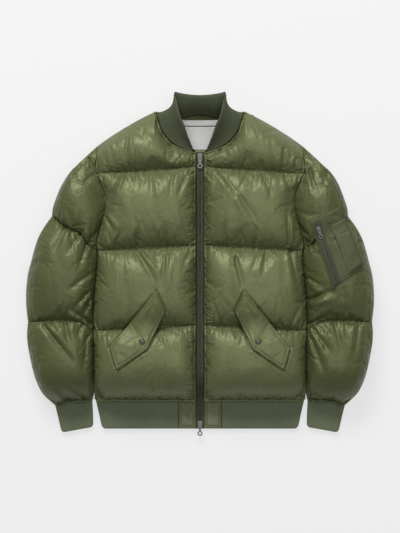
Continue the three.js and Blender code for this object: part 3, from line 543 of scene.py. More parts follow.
def settle(surface, panel, up=1):
    """Lets cloth that is wider than its stitched lines puff up. Gives where its points come to rest."""
    rows, columns = surface.shape[:2]
    index = np.arange(rows * columns).reshape(rows, columns)
    faces = np.stack([index[:-1, :-1], index[1:, :-1], index[1:, 1:], index[:-1, 1:]], -1).reshape(-1, 4)
    faces_down = (surface[0, -1, 0] < surface[0, 0, 0]) != (up < 0)
    faces = faces[:, ::-1 if faces_down else 1].tolist()
    cloth = mesh_object("cloth", surface.reshape(-1, 3) * MM, [], faces)
    held = cloth.vertex_groups.new(name="held")
    held.add(np.r_[index[:, 0], index[:, -1], index[panel.stitched].ravel()].tolist(), 1.0, "REPLACE")
    modifier = cloth.modifiers.new("Cloth", "CLOTH")
    for key, value in CLOTH.items():
        setattr(modifier.settings, key, value)
    modifier.settings.vertex_group_mass = "held"
    modifier.settings.effector_weights.gravity = 0
    modifier.collision_settings.use_collision = False
    modifier.collision_settings.use_self_collision = False
    modifier.point_cache.frame_start = 1
    modifier.point_cache.frame_end = SETTLE["frames"]
    for step in range(1, SETTLE["frames"] + 1):
        bpy.context.scene.frame_set(step)
    shown = cloth.evaluated_get(bpy.context.evaluated_depsgraph_get())
    settled = np.empty(rows * columns * 3, np.float32)
    shown.data.vertices.foreach_get("co", settled)
    mesh = cloth.data
    bpy.data.objects.remove(cloth)
    bpy.data.meshes.remove(mesh)
    bpy.context.scene.frame_set(1)
    moved = settled.reshape(surface.shape) / MM - surface
    distance = np.linalg.norm(moved, axis=2, keepdims=True)
    return surface + moved * np.minimum(1, SETTLE["reach"] / np.maximum(distance, 1e-6))


def in_between(grid):
    """A grid with one more row between each two, on a smooth curve through its rows."""
    outside = np.concatenate([2 * grid[:1] - grid[1:2], grid, 2 * grid[-1:] - grid[-2:-1]])
    woven = np.empty((2 * len(grid) - 1, *grid.shape[1:]))
    woven[::2] = grid
    woven[1::2] = (9 * (grid[:-1] + grid[1:]) - (outside[:-3] + outside[3:])) / 16
    return woven


def finer(grid, stitched):
    """A grid with twice the rows and columns, still sharp along its stitched rows."""
    parts = [in_between(grid[a:b + 1]) for a, b in zip(stitched[:-1], stitched[1:])]
    rows = np.concatenate([parts[0], *(part[1:] for part in parts[1:])])
    return np.moveaxis(in_between(np.moveaxis(rows, 0, 1)), 0, 1)


def crease_depth(points, creases):
    """How deep creases press in a grid of points. Each has a ridge beside it and fades to its far end."""
    x, y = points[..., 0].ravel(), points[..., 1].ravel()
    depth = np.zeros_like(x)
    for from_x, from_y, to_x, to_y, deep, width in creases:
        reach = CREASE["reach"] * width
        near = np.flatnonzero((x > min(from_x, to_x) - reach) & (x < max(from_x, to_x) + reach)
                              & (y > min(from_y, to_y) - reach) & (y < max(from_y, to_y) + reach))
        length = math.hypot(to_x - from_x, to_y - from_y)
        way_x, way_y = (to_x - from_x) / length, (to_y - from_y) / length
        off_x, off_y = x[near] - from_x, y[near] - from_y
        gone = off_x * way_x + off_y * way_y
        beside = off_x * way_y - off_y * way_x
        share = np.clip(gone / length, 0, 1)
        past = gone - share * length
        spread = width * (1 + CREASE["widening"] * share)
        valley = np.exp(-np.abs(beside / spread) ** CREASE["roundness"])
        ridge = np.exp(-((beside - CREASE["ridge_at"] * spread) / (CREASE["ridge_width"] * spread)) ** 2)
        fade = (1 - share ** 2) * np.exp(-(past / width) ** 2)
        depth[near] += deep * fade * (valley - CREASE["ridge"] * ridge)
    return depth.reshape(points.shape[:-1])


def gathers(line, ways, seed, strength):
    """Creases that fan out from a stitched line, one way or both."""
    random = np.random.default_rng(seed)
    creases = []
    for way in ways:
        x = line[:, 0].min() + GATHER["spacing"] * random.uniform(*GATHER["starts"])
        while x < line[:, 0].max():
            order = np.argsort(line[:, 0])
            y = np.interp(x, line[order, 0], line[order, 1])
            goes_far = random.uniform() < GATHER["long_share"]
            length = (GATHER["long"] if goes_far else GATHER["length"]) * random.uniform(*GATHER["lengths"])
            slant = length * random.normal(0, GATHER["slant"])
            depth = GATHER["depth"] * strength * random.uniform(*GATHER["depths"])
            width = GATHER["width"] * random.uniform(*GATHER["widths"])
            if goes_far:
                width *= GATHER["long_width"]
            creases.append((x, y, x + slant, y + way * length, depth, width))
            x += GATHER["spacing"] * random.uniform(*GATHER["steps"])
    return creases


def outlined(points, depth, width):
    """Folds along a line through these points, as deep all along."""
    ends = list(zip(points[:-1], points[1:]))
    return [(*a, *b, depth, width) for a, b in ends] + [(*b, *a, depth, width) for a, b in ends]


def puckers(line, seed):
    """Short creases that run outwards from a vertical stitched line."""
    random = np.random.default_rng(seed)
    creases = []
    y = line[:, 1].min() + PUCKER["spacing"]
    while y < line[:, 1].max() - PUCKER["spacing"]:
        length = PUCKER["length"] * random.uniform(*PUCKER["lengths"])
        x = np.interp(y, line[::-1, 1], line[::-1, 0])
        depth = PUCKER["depth"] * random.uniform(*PUCKER["depths"])
        slant = length * random.normal(*PUCKER["slant"])
        creases.append((x, y, x + length, y + slant, depth, PUCKER["width"]))
        y += PUCKER["spacing"] * random.uniform(*PUCKER["steps"])
    return creases


def add_welts(surface, line, welts, up=1, share=1):
    """Raises ridges and presses grooves in along a line. Welts have a distance, a height and a width."""
    gone = np.linalg.norm(surface[..., :2] - line[..., :2], axis=2)
    for at, height, width in welts:
        surface[..., 2] += up * height * share * np.exp(-((gone - at) / width) ** 2) * np.minimum(1, gone)


def detail(surface, stitched, folds, seed, up=1, welts=()):
    """Adds creases, gathers, welts and stitched grooves to a settled surface. Its edges stay in place."""
    creases = [(*line, FOLD_STRENGTH * depth, FOLD_WIDTH * width) for *line, depth, width in folds]
    for k, row in enumerate(stitched):
        ways = [way for way, open_side in ((1, k > 0), (-1, k < len(stitched) - 1)) if open_side]
        creases += gathers(surface[row], ways, seed + k, 1.0 if k > 0 else GATHER["at_top"])
    edge = [np.linalg.norm(surface - line, axis=2) for line in
            (surface[:, :1], surface[:, -1:], surface[:1], surface[-1:])]
    fade = bulge(np.minimum.reduce(edge) / EDGE_FADE)
    beside = np.abs(surface[:, None, :, 1] - surface[stitched][None, :, :, 1]).min(1)
    near = np.exp(-beside / CRUMPLE["near"])
    crumpled = np.abs(rough(surface / (CRUMPLE["across"], CRUMPLE["down"], 1), 1, 1, seed))
    soft = rough(surface * (1, UNEVEN["down"], 1), UNEVEN["size"], UNEVEN["depth"], seed)
    soft = soft + (crumpled - CRUMPLE["level"]) * lerp(CRUMPLE["depth"], CRUMPLE["near_depth"], near)
    surface = surface.copy()
    surface[..., 2] += up * fade * (soft - crease_depth(surface, creases))
    for line, rows in welts:
        add_welts(surface, line, rows, up)
    for row in stitched[1:-1]:
        surface[row, 1:-1, 2] -= up * GROOVE
    return surface


def bridge(faces, first, second):
    """Triangles between two rows of point numbers that run the same way, each with its own count."""
    i = k = 0
    while i < len(first) - 1 or k < len(second) - 1:
        if (i + 1) * (len(second) - 1) <= (k + 1) * (len(first) - 1):
            faces.append((first[i + 1], first[i], second[k]))
            i += 1
        else:
            faces.append((first[i], second[k], second[k + 1]))
            k += 1


def solid_between(outer, inner, ring=False):
    """Points and faces of a closed solid between an outer and an inner surface, given as rows of points.
    Where both rows have the same count the faces are quads. A ring's rows close on themselves."""
    points = np.concatenate([np.asarray(row) for row in [*outer, *inner]])
    faces = []
    numbers = []
    count = 0
    for row in [*outer, *inner]:
        numbers.append([*range(count, count + len(row)), *([count] if ring else [])])
        count += len(row)
    outside, inside = numbers[:len(outer)], numbers[len(outer):]

    def cover(a, b):
        if len(a) != len(b):
            return bridge(faces, a, b)
        faces.extend((a[i + 1], a[i], b[i], b[i + 1]) for i in range(len(a) - 1))

    for j in range(len(outer) - 1):
        cover(outside[j + 1], outside[j])
        cover(inside[j], inside[j + 1])
        if not ring:
            cover([inside[j][0], inside[j + 1][0]], [outside[j][0], outside[j + 1][0]])
            cover([outside[j][-1], outside[j + 1][-1]], [inside[j][-1], inside[j + 1][-1]])
    cover(outside[0], inside[0])
    cover(inside[-1], outside[-1])
    return points, faces


def outward(points, faces):
    """The faces, turned so that they face out of the solid that they close."""
    fans = [(face[0], face[i], face[i + 1]) for face in faces for i in range(1, len(face) - 1)]
    a, b, c = (points[np.array(fans)[:, k]] for k in range(3))
    if np.einsum("ij,ij->", a, np.cross(b, c)) < 0:
        return [face[::-1] for face in faces]
    return faces


def solid(name, points, faces, material, side=1, **values):
    """An object from plan points in millimetres, mirrored where side is -1, with named values per point."""
    points = np.asarray(points, float) * (side, 1, 1) * MM + (0, PLAN_Y, 0)
    piece = mesh_object(name, points, [], outward(points, faces))
    mesh = piece.data
    for key, numbers in values.items():
        mesh.attributes.new(key, "FLOAT", "POINT").data.foreach_set("value", np.asarray(numbers, float))
    mesh.materials.append(material)
    mesh.polygons.foreach_set("use_smooth", [True] * len(mesh.polygons))
    return piece


def declare(piece, replaced=None):
    """Puts a finished piece on the jacket's body, in the place of one of the model's own pieces."""
    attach(piece, "root")
    if replaced:
        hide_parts(replaced)


def node(tree, kind, inputs=(), **settings):
    """A node with its settings, and its inputs as values or as other nodes' outputs."""
    made = tree.nodes.new(kind)
    for key, value in settings.items():
        setattr(made, key, value)
    for key, value in dict(inputs).items():
        if isinstance(value, bpy.types.NodeSocket):
            tree.links.new(value, made.inputs[key])
        else:
            made.inputs[key].default_value = value
    return made


def math_node(tree, operation, first, second=0.0):
    return node(tree, "ShaderNodeMath", {0: first, 1: second}, operation=operation).outputs[0]


def new_tree(name, **sizes):
    """A Geometry Nodes tree with named sizes and a material as inputs. Gives the tree and its input node."""
    tree = bpy.data.node_groups.new(name, "GeometryNodeTree")
    tree.is_modifier = True
    tree.interface.new_socket("Geometry", in_out="INPUT", socket_type="NodeSocketGeometry")
    for label, value in sizes.items():
        socket = tree.interface.new_socket(label, in_out="INPUT", socket_type="NodeSocketFloat")
        socket.default_value = value
    tree.interface.new_socket("Material", in_out="INPUT", socket_type="NodeSocketMaterial")
    tree.interface.new_socket("Geometry", in_out="OUTPUT", socket_type="NodeSocketGeometry")
    return tree, tree.nodes.new("NodeGroupInput")


def end_tree(tree, given, geometry):
    """Ends a tree in plain geometry with its material, smoothly shaded."""
    real = node(tree, "GeometryNodeRealizeInstances", {"Geometry": geometry})
    smoothed = node(tree, "GeometryNodeSetShadeSmooth", {"Geometry": real.outputs[0]})
    painted = node(tree, "GeometryNodeSetMaterial",
                   {"Geometry": smoothed.outputs[0], "Material": given.outputs["Material"]})
    node(tree, "NodeGroupOutput", {"Geometry": painted.outputs[0]})
    return tree


def grow(piece, tree, material, **sizes):
    """Runs a tree on a piece and keeps its result as the piece's plain mesh."""
    modifier = piece.modifiers.new(tree.name, "NODES")
    modifier.node_group = tree
    sockets = {item.name: item.identifier for item in tree.interface.items_tree if item.in_out == "INPUT"}
    for label, value in {**sizes, "Material": material}.items():
        modifier[sockets[label]] = value
    shown = piece.evaluated_get(bpy.context.evaluated_depsgraph_get())
    mesh = bpy.data.meshes.new_from_object(shown)
    piece.modifiers.remove(modifier)
    old = piece.data
    piece.data = mesh
    bpy.data.meshes.remove(old)
    mesh.name = piece.name


def scaled(tree, vector, by):
    """A vector times a number, in a tree."""
    return node(tree, "ShaderNodeVectorMath", {0: vector, "Scale": by}, operation="SCALE").outputs[0]


def combined(tree, given, *labels):
    """A vector of three of a tree's sizes."""
    sizes = {k: given.outputs[label] for k, label in enumerate(labels)}
    return node(tree, "ShaderNodeCombineXYZ", sizes).outputs[0]


def points_on_lines(tree, given):
    """Points at each pitch along the lines of the given mesh."""
    line = node(tree, "GeometryNodeMeshToCurve", {"Mesh": given.outputs["Geometry"]})
    return node(tree, "GeometryNodeCurveToPoints",
                {"Curve": line.outputs[0], "Length": given.outputs["Pitch"]}, mode="LENGTH")


def turned(tree, points, axis):
    """Rotations that turn an axis along the line."""
    way = {"Vector": points.outputs["Tangent"]}
    return node(tree, "FunctionNodeAlignRotationToVector", way, axis=axis).outputs[0]


def rib_tree():
    """Moves points out by a rounded rib. The point value rib is the place among ribs, rib_share the fade."""
    tree, given = new_tree("ribs", Depth=0.001, Roundness=0.6)
    place, fade = (
        node(tree, "GeometryNodeInputNamedAttribute", {"Name": name}, data_type="FLOAT").outputs["Attribute"]
        for name in ("rib", "rib_share"))
    wave = math_node(tree, "ABSOLUTE", math_node(tree, "SINE", math_node(tree, "MULTIPLY", place, math.pi)))
    rise = math_node(tree, "POWER", wave, given.outputs["Roundness"])
    height = math_node(tree, "MULTIPLY", math_node(tree, "MULTIPLY", rise, fade), given.outputs["Depth"])
    out = scaled(tree, node(tree, "GeometryNodeInputNormal").outputs[0], height)
    moved = node(tree, "GeometryNodeSetPosition", {"Geometry": given.outputs["Geometry"], "Offset": out})
    return end_tree(tree, given, moved.outputs[0])


def stitch_tree():
    """Stitches with rounded ends, laid along the lines of a mesh."""
    tree, given = new_tree("stitches", Pitch=0.003, Length=0.002, Thickness=0.0005)
    points = points_on_lines(tree, given)
    bead = node(tree, "GeometryNodeMeshUVSphere", {"Segments": 6, "Rings": 5, "Radius": 0.5})
    beads = node(tree, "GeometryNodeInstanceOnPoints",
                 {"Points": points.outputs["Points"], "Instance": bead.outputs["Mesh"],
                  "Rotation": turned(tree, points, "Z"),
                  "Scale": combined(tree, given, "Thickness", "Thickness", "Length")})
    return end_tree(tree, given, beads.outputs[0])


def teeth_tree():
    """Two rows of rounded zip teeth that mesh, laid along the lines of a mesh."""
    tree, given = new_tree("zip_teeth", Pitch=0.0015, Width=0.003, Length=0.0015, Height=0.002, Spread=0.001)
    points = points_on_lines(tree, given)
    index = node(tree, "GeometryNodeInputIndex").outputs[0]
    odd = math_node(tree, "MODULO", index, 2.0)
    row = math_node(tree, "SUBTRACT", math_node(tree, "MULTIPLY", odd, 2.0), 1.0)
    aside = node(tree, "ShaderNodeVectorMath", {0: points.outputs["Tangent"], 1: (0, 0, 1)},
                 operation="CROSS_PRODUCT")
    offset = scaled(tree, aside.outputs[0], math_node(tree, "MULTIPLY", row, given.outputs["Spread"]))
    moved = node(tree, "GeometryNodeSetPosition", {"Geometry": points.outputs["Points"], "Offset": offset})
    block = node(tree, "GeometryNodeMeshCube", {"Size": combined(tree, given, "Width", "Length", "Height")})
    rounded = node(tree, "GeometryNodeSubdivisionSurface", {"Mesh": block.outputs["Mesh"], "Level": 1})
    teeth = node(tree, "GeometryNodeInstanceOnPoints",
                 {"Points": moved.outputs[0], "Instance": rounded.outputs[0],
                  "Rotation": turned(tree, points, "Y")})
    return end_tree(tree, given, teeth.outputs[0])


def line_piece(name, lines, tree, material, slot, **sizes):
    """A piece that a tree grows along lines of plan points in millimetres."""
    edges = []
    count = 0
    for line in lines:
        edges += [(i, i + 1) for i in range(count, count + len(line) - 1)]
        count += len(line)
    piece = mesh_object(name, np.concatenate(lines) * MM + (0, PLAN_Y, 0), edges, [])
    grow(piece, tree, material, **{label: size * MM for label, size in sizes.items()})
    declare(piece)


def start_material(name, colour, roughness, unevenness, scale, fineness):
    """A material with softly uneven colour. Gives it with its tree, its shader and places on the object."""
    material = bpy.data.materials.new(name)
    material.use_nodes = True
    tree = material.node_tree
    shader = tree.nodes["Principled BSDF"]
    place = tree.nodes.new("ShaderNodeTexCoord").outputs["Object"]
    stretched = node(tree, "ShaderNodeMapping", {"Vector": place, "Scale": scale})
    grain = {"Vector": stretched.outputs[0], "Scale": 1.0, "Detail": fineness}
    cloud = node(tree, "ShaderNodeTexNoise", grain)
    dark, light = (tuple(c * (1 + s * unevenness) for c in colour) + (1,) for s in (-1, 1))
    mixed = node(tree, "ShaderNodeMix", {0: cloud.outputs["Fac"], 6: dark, 7: light}, data_type="RGBA")
    tree.links.new(mixed.outputs[2], shader.inputs["Base Color"])
    shader.inputs["Roughness"].default_value = roughness
    return material, tree, shader, place


def fabric(name, colour, roughness, thread, cloudiness=0.1, glow=(1, 1, 1), shine=0.4, crumple=0.0):
    """Cloth with a fine weave, and small soft wrinkles of that depth in millimetres."""
    material, tree, shader, place = start_material(name, colour, roughness, cloudiness, CLOTH_CLOUDS, 3.0)
    waves = {"Vector": place, "Scale": 1 / (thread * MM * WAVES_PER_SCALE)}
    warp, weft = (node(tree, "ShaderNodeTexWave", waves, bands_direction=way) for way in ("X", "Y"))
    weave = math_node(tree, "ADD", warp.outputs["Fac"], weft.outputs["Fac"])
    wrinkles = node(tree, "ShaderNodeTexNoise", {"Vector": place, **WRINKLES})
    creased = node(tree, "ShaderNodeBump", {"Height": wrinkles.outputs["Fac"], "Distance": crumple * MM})
    bump = node(tree, "ShaderNodeBump", {"Height": weave, "Normal": creased.outputs[0], **WEAVE})
    tree.links.new(bump.outputs[0], shader.inputs["Normal"])
    shader.inputs["Specular IOR Level"].default_value = shine
    shader.inputs["Specular Tint"].default_value = (*glow, 1)
    return material


def plain_material(name, colour, roughness=0.6, metal=0.0):
    material, _, shader, _ = start_material(name, colour, roughness, PLAIN_WEAR, PLAIN_CLOUDS, 4.0)
    shader.inputs["Metallic"].default_value = metal
    return material


def body_edges(panel):
    shoulder = smooth((panel.across - NECK_SHARE) / SHOULDER_EASE)
    return {"above": lerp(EDGE["neck"], EDGE["seam"], shoulder), "below": EDGE["hem"],
            "end": armhole_rise(panel.points[..., -1:, 1])}


def front_surface(side, folds):
    panel = body_panel(NECK, ZIP_EDGE, CELL)
    edges = {**body_edges(panel), "start": EDGE["zip"]}
    surface = raised(panel, pad_height(panel, edges, BODY_PAD))
    surface[..., 2] = eased_across(surface[..., 2], panel.neck_column)
    surface[..., 2] += rough(panel.points, LUMPS["size"], LUMPS["depth"], side * SEED["front_lumps"])
    surface = finer(settle(surface, panel), panel.stitched)
    welts = [(surface[:, :1], ZIP_WELTS), (surface[-1:], HEM_WELTS)]
    around = inset(FLAP["corners"], -FLAP_DENT["outside"])
    creases = folds + puckers(surface[:, 0] + (PUCKER["beside_zip"], 0, 0), side + SEED["puckers"])
    creases += outlined([*around, around[0]], FLAP_DENT["depth"], FLAP_DENT["width"])
    surface = detail(surface, 2 * panel.stitched, creases, SEED["front"] + side, welts=welts)
    on_neck = 1 - smooth((np.arange(surface.shape[1]) - 2 * panel.neck_column) / NECK_WELT_FADE)
    add_welts(surface, surface[:1], NECK_WELTS, share=on_neck)
    return surface


def back_surface():
    panel = body_panel(BACK_NECK, 0, HIDDEN_CELL)
    height = pad_height(panel, body_edges(panel), BODY_PAD)
    points = np.concatenate([panel.points[:, :0:-1] * (-1, 1), panel.points], 1)
    whole = Panel(points, panel.channel, panel.place, panel.spans)
    height = np.concatenate([height[:, :0:-1], height], 1)
    dip = neck_dip(whole.points[..., 0], whole.points[..., 1])
    surface = finer(settle(raised(whole, height, -1, dip), whole, -1), whole.stitched)
    return detail(surface, 2 * whole.stitched, [], SEED["back"], -1)


def sleeve_surface(side, up, folds):
    panel = sleeve_panel(CELL if up > 0 else HIDDEN_CELL)
    y = panel.points[..., 1]
    first = panel.channel[:, None] == 0
    edges = {"above": armhole_rise(y[0]), "below": EDGE["cuff"], "start": EDGE["seam"],
             "end": np.where(first, armhole_rise(y[:, -1:]), EDGE["seam"])}
    surface = raised(panel, pad_height(panel, edges, SLEEVE_PAD), up)
    lumps = rough(panel.points, LUMPS["size"], LUMPS["depth"], side * SEED["sleeve_lumps"] + up)
    surface[..., 2] += up * lumps
    surface = finer(settle(surface, panel, up), panel.stitched)
    if up > 0:
        seam = [(x - SLEEVE_SEAM["inside"], y) for y, x in dict.fromkeys(sum(SLEEVE_OUTER, []))][1:-1]
        folds = folds + outlined(seam, SLEEVE_SEAM["depth"], SLEEVE_SEAM["width"])
    return detail(surface, 2 * panel.stitched, folds, SEED["sleeve"] + 4 * side + up, up)


def close_panel(surface, node_name, up, material, side=1, dip=None):
    """The padded piece between a surface and the plane where the front lies on the back."""
    inner = []
    for k, row in enumerate(surface):
        x, y = row[:, 0], row[:, 1]
        dips = dip(x, y) if dip else np.zeros_like(x)
        under = np.stack([x, y, layer_height(y) + up * LAYER_GAP / 2 - dips], -1)
        inner.append(under[[0, -1]] if 0 < k < len(surface) - 1 and not dips.any() else under)
    points, faces = solid_between(surface, inner)
    points[:, 2] = np.maximum(points[:, 2], 0)
    piece = solid(f"{node_name}_padded", points, faces, material, side)
    declare(piece, node_name)
    return piece


def band(name, outer, inner, places, material, replaced, side=1, ring=False):
    """A ribbed piece. Its outer rows of points, but for the last, get a rib at each whole step of places."""
    points, faces = solid_between(outer, inner, ring)
    ribs = np.zeros(len(points))
    share = np.zeros(len(points))
    count = sum(len(row) for row in outer)
    ribs[:count] = np.tile(places, len(outer))
    share[:count] = np.repeat([1.0] * (len(outer) - 1) + [0.0], len(outer[0]))
    piece = solid(name, points, faces, material, side, rib=ribs, rib_share=share)
    grow(piece, RIBS, material, Depth=RIB["depth"] * MM)
    declare(piece, replaced)
    return piece


BAND_ROWS = np.r_[np.linspace(0, 0.9, 12), 0.93, 0.955, 0.975, 0.99, 1]


def rounded_end(t, length, radius):
    """From 1 to 0 round a band's end, over the last stretch of its length."""
    past = np.clip((np.asarray(t) * length - (length - radius)) / radius, 0, 1)
    return np.sqrt(np.maximum(1 - past ** 2, 0))


def hem_band(name, from_x, sign, side, replaced):
    length = HEM_HALF_WIDTH["seam"] - from_x
    ribs = round(length / RIB["pitch"])
    u = np.linspace(0 if from_x else -1, 1, (1 if from_x else 2) * ribs * RIB["points"] + 1)
    height = HEM_SEAM - HEM_END
    outer, inner = [], []
    for t in BAND_ROWS:
        corner = HEM_CORNER * (1 - rounded_end(t, height, HEM_CORNER))
        reach = lerp(HEM_HALF_WIDTH["seam"], HEM_HALF_WIDTH["end"], t) - corner
        x = lerp(from_x, reach, u) if from_x else reach * u
        y = np.full_like(x, lerp(HEM_SEAM - SEAM_GAP, HEM_END, t))
        base = layer_height(y) + sign * LAYER_GAP / 2
        soft = lerp(HEM_ROUND["side_share"], 1, bulge((reach - np.abs(x)) / HEM_ROUND["side"]))
        end = np.maximum(rounded_end(t, height, HEM_ROUND["end"]), HEM_ROUND["end_share"])
        wall = (RIB["wall"] - RIB["depth"]) * end * soft
        outer.append(np.stack([x, y, np.maximum(base + sign * wall, 0)], -1))
        inner.append(np.stack([x, y, base], -1)[[0, -1]])
    inner[0], inner[-1] = ([np.append(row[:2], layer_height(row[1]) + sign * LAYER_GAP / 2) for row in full]
                           for full in (outer[0], outer[-1]))
    return band(name, outer, inner, u * ribs, lit_rib_knit, replaced, side)


def cuff(name, side, replaced):
    seam = curve_through(SLEEVE_LOWER[2])
    start_x, stop_x = SLEEVE_LOWER[2][0][0], SLEEVE_LOWER[2][-1][0]
    width = math.dist(SLEEVE_LOWER[2][0], SLEEVE_LOWER[2][-1])
    ribs = round(width / RIB["pitch"])
    half = np.linspace(0, 1, ribs * RIB["points"] + 1)
    u = np.r_[half, half[-2:0:-1]]
    sign = np.r_[np.ones(len(half)), -np.ones(len(half) - 2)]
    outer, inner = [], []
    for t in BAND_ROWS:
        corner = CUFF["corner"] * (1 - rounded_end(t, CUFF["length"], CUFF["corner"])) / width

        def ring(inward, rise):
            share = lerp(inward / width + corner, 1 - inward / width - corner, u)
            end_x, end_y = (lerp(*ends, share) for ends in zip(*CUFF["end"]))
            seam_x = lerp(start_x, stop_x, share)
            x = lerp(seam_x, end_x, t)
            y = lerp(seam(seam_x) - CUFF["seam_gap"], end_y, t)
            full = bulge(np.minimum(u, 1 - u) * width / CUFF["corner"])
            return np.stack([x, y, layer_height(y) + sign * rise * full], -1)

        wall = RIB["wall"] - RIB["depth"]
        end = max(float(rounded_end(t, CUFF["length"], CUFF["end_round"])), CUFF["end_share"])
        outer.append(ring(0, CUFF["half_slit"] + wall * end))
        inner.append(ring(wall, CUFF["half_slit"])[::RIB["points"]])
    return band(name, outer, inner, np.arange(len(u)) / RIB["points"], lit_rib_knit, replaced, side, True)


def collar():
    steps = COLLAR["ribs"] * RIB["points"]
    shares = np.linspace(0, 1, steps + 1)
    seam = along(COLLAR_SEAM, shares)
    top = along(COLLAR_TOP, shares)
    run = np.gradient(seam, axis=0) + np.gradient(top, axis=0)
    run[-1] = (-1, 0, 0)
    out = -np.cross(run, top - seam)
    out /= np.linalg.norm(out, axis=1, keepdims=True)
    tall = np.minimum(1, np.linalg.norm(top - seam, axis=1) / COLLAR["full_height"])

    def row(t, lift):
        swell = COLLAR["swell"] * tall * np.sin(np.pi * t)
        half = lerp(seam, top, t) + out * (swell + lift)[:, None]
        return np.vstack([half, half[-2::-1] * (-1, 1, 1)])

    wall = COLLAR["wall"] * np.ones(steps + 1)
    rows = np.linspace(0, 1, COLLAR["rows"])
    past = np.maximum(0, (rows - COLLAR["round_from"]) / COLLAR["round_over"])
    round_top = 1 - COLLAR["thinning"] * (1 - np.sqrt(np.maximum(0, 1 - past ** 2)))
    outer = [row(t, -wall / 2 + wall / 2 * k) for t, k in zip(rows, round_top)]
    inner = [row(t, -wall / 2 - wall / 2 * k) for t, k in zip(rows, round_top)]
    places = np.r_[shares, 2 - shares[-2::-1]] * COLLAR["ribs"]
    return band("collar_ribbed", outer, inner, places, shaded_collar_knit, "collar")


def quad_plan(corners, cell, across=(0, 1), down=(0, 1)):
    """A grid of plan points over a share of a four-cornered piece."""
    a, b, c, d = np.array(corners, float)
    columns = round(np.linalg.norm(b - a) * (across[1] - across[0]) / cell)
    rows = round(np.linalg.norm(d - a) * (down[1] - down[0]) / cell)
    u = np.linspace(*across, columns + 1)[None, :, None]
    t = np.linspace(*down, rows + 1)[:, None, None]
    return lerp(lerp(a, b, u), lerp(d, c, u), t)


def flap_plan():
    cell = FLAP["cell"]
    hinge, foot, lower, tip, upper = FLAP["corners"]
    across = np.linspace(0, 1, round(math.dist(hinge, foot) / cell) + 1)
    down = np.linspace(0, 1, round(math.dist(foot, lower) / cell) + 1)
    return fill(straight([hinge, foot], across), straight([upper, tip, lower], across),
                straight([hinge, upper], down), straight([foot, lower], down), across, down)


def surface_of(*pieces):
    """A search tree over the pieces, for heights of their tops."""
    points, faces = [], []
    for piece in pieces:
        count = len(points)
        points += [v.co.copy() for v in piece.data.vertices]
        faces += [[count + i for i in face.vertices] for face in piece.data.polygons]
    return BVHTree.FromPolygons(points, faces)


def heights(surface, plan, side=1):
    """Heights of a surface at plan points."""
    down = Vector((0, 0, -1))
    found = []
    for x, y in plan.reshape(-1, 2):
        hit = surface.ray_cast(Vector((side * x * MM, y * MM + PLAN_Y, 1)), down)[0]
        found.append(hit.z / MM if hit else 0)
    return np.array(found).reshape(plan.shape[:-1])


def spanned(ground, passes=120):
    """Heights of a cloth that rests on the highest spots and spans the hollows between them."""
    rows, columns = ground.shape
    level = ground.copy()
    for _ in range(SPOT_REACH):
        padded = np.pad(level, 1, mode="edge")
        level = np.max([padded[i:i + rows, j:j + columns] for i in range(3) for j in range(3)], 0)
    ground = level.copy()
    for _ in range(passes):
        padded = np.pad(level, 1, mode="reflect", reflect_type="odd")
        beside = (padded[1:-1, :-2] + padded[1:-1, 2:]) / 2
        along_it = (padded[:-2, 1:-1] + padded[2:, 1:-1]) / 2
        level = np.maximum(ground, np.maximum(np.minimum(beside, along_it), (beside + along_it) / 2))
    return level


def edge_distance(plan):
    """Distance of each plan point from the grid's outline."""
    outline = np.concatenate([plan[0], plan[:, -1], plan[-1, ::-1], plan[::-1, 0]])
    away = plan.reshape(-1, 1, 2) - outline
    return np.sqrt((away ** 2).sum(2).min(1)).reshape(plan.shape[:-1])


def inset(corners, distance):
    """Corners of a convex outline moved in by a distance."""
    corners = np.array(corners, float)
    edges = np.roll(corners, -1, 0) - corners
    edges /= np.linalg.norm(edges, axis=1, keepdims=True)
    moved = []
    middle = corners.mean(0)
    for i, corner in enumerate(corners):
        before, after = edges[i - 1], edges[i]
        normals = []
        for way in (before, after):
            normal = np.array([-way[1], way[0]])
            normals.append(normal if normal @ (middle - corner) > 0 else -normal)
        moved.append(corner + np.linalg.solve(np.array(normals), [distance, distance]))
    return np.array(moved)


stitch_lines = []


def sew(surface, line, side=1):
    """Adds a line of stitches on a surface along plan points."""
    line = np.array(line, float)
    length = np.linalg.norm(np.diff(line, axis=0), axis=1).sum()
    plan = straight(line, np.linspace(0, 1, max(2, round(length / STITCH_STEP))))
    level = heights(surface, plan, side) + STITCH_LIFT
    stitch_lines.append(np.column_stack([side * plan[:, 0], plan[:, 1], level]))


def sew_border(surface, look, corners, side=1):
    """Lines of stitches inside a piece's corners, at its look's distances."""
    for distance in look["stitches"]:
        inner = inset(corners, distance)
        sew(surface, [*inner, inner[0]], side)


def patch(name, plan, under, look, material, replaced=None, side=1, folds=()):
    """A laid piece with a rounded edge, its look's stitched grooves inside the edge, and creases."""
    thickness = look["thickness"]
    gone = edge_distance(plan)
    rise = thickness * lerp(PATCH["edge_share"], 1, bulge(gone / look["edge"]))
    for at in look.get("grooves", ()):
        rise = rise - PATCH["groove"] * thickness * np.exp(-((gone - at) / PATCH["groove_width"]) ** 2)
    lumps = rough(plan, PATCH["lump_size"], PATCH["lumps"], thickness)
    uneven = lumps - PATCH["folds"] * crease_depth(plan, folds)
    rise = rise + bulge(gone / PATCH["fade"]) * uneven
    outer = np.dstack([plan, under + np.maximum(rise, PATCH["least"])])
    points, faces = solid_between(outer, np.dstack([plan, under]))
    piece = solid(name, points, faces, material, side)
    declare(piece, replaced)
    return piece


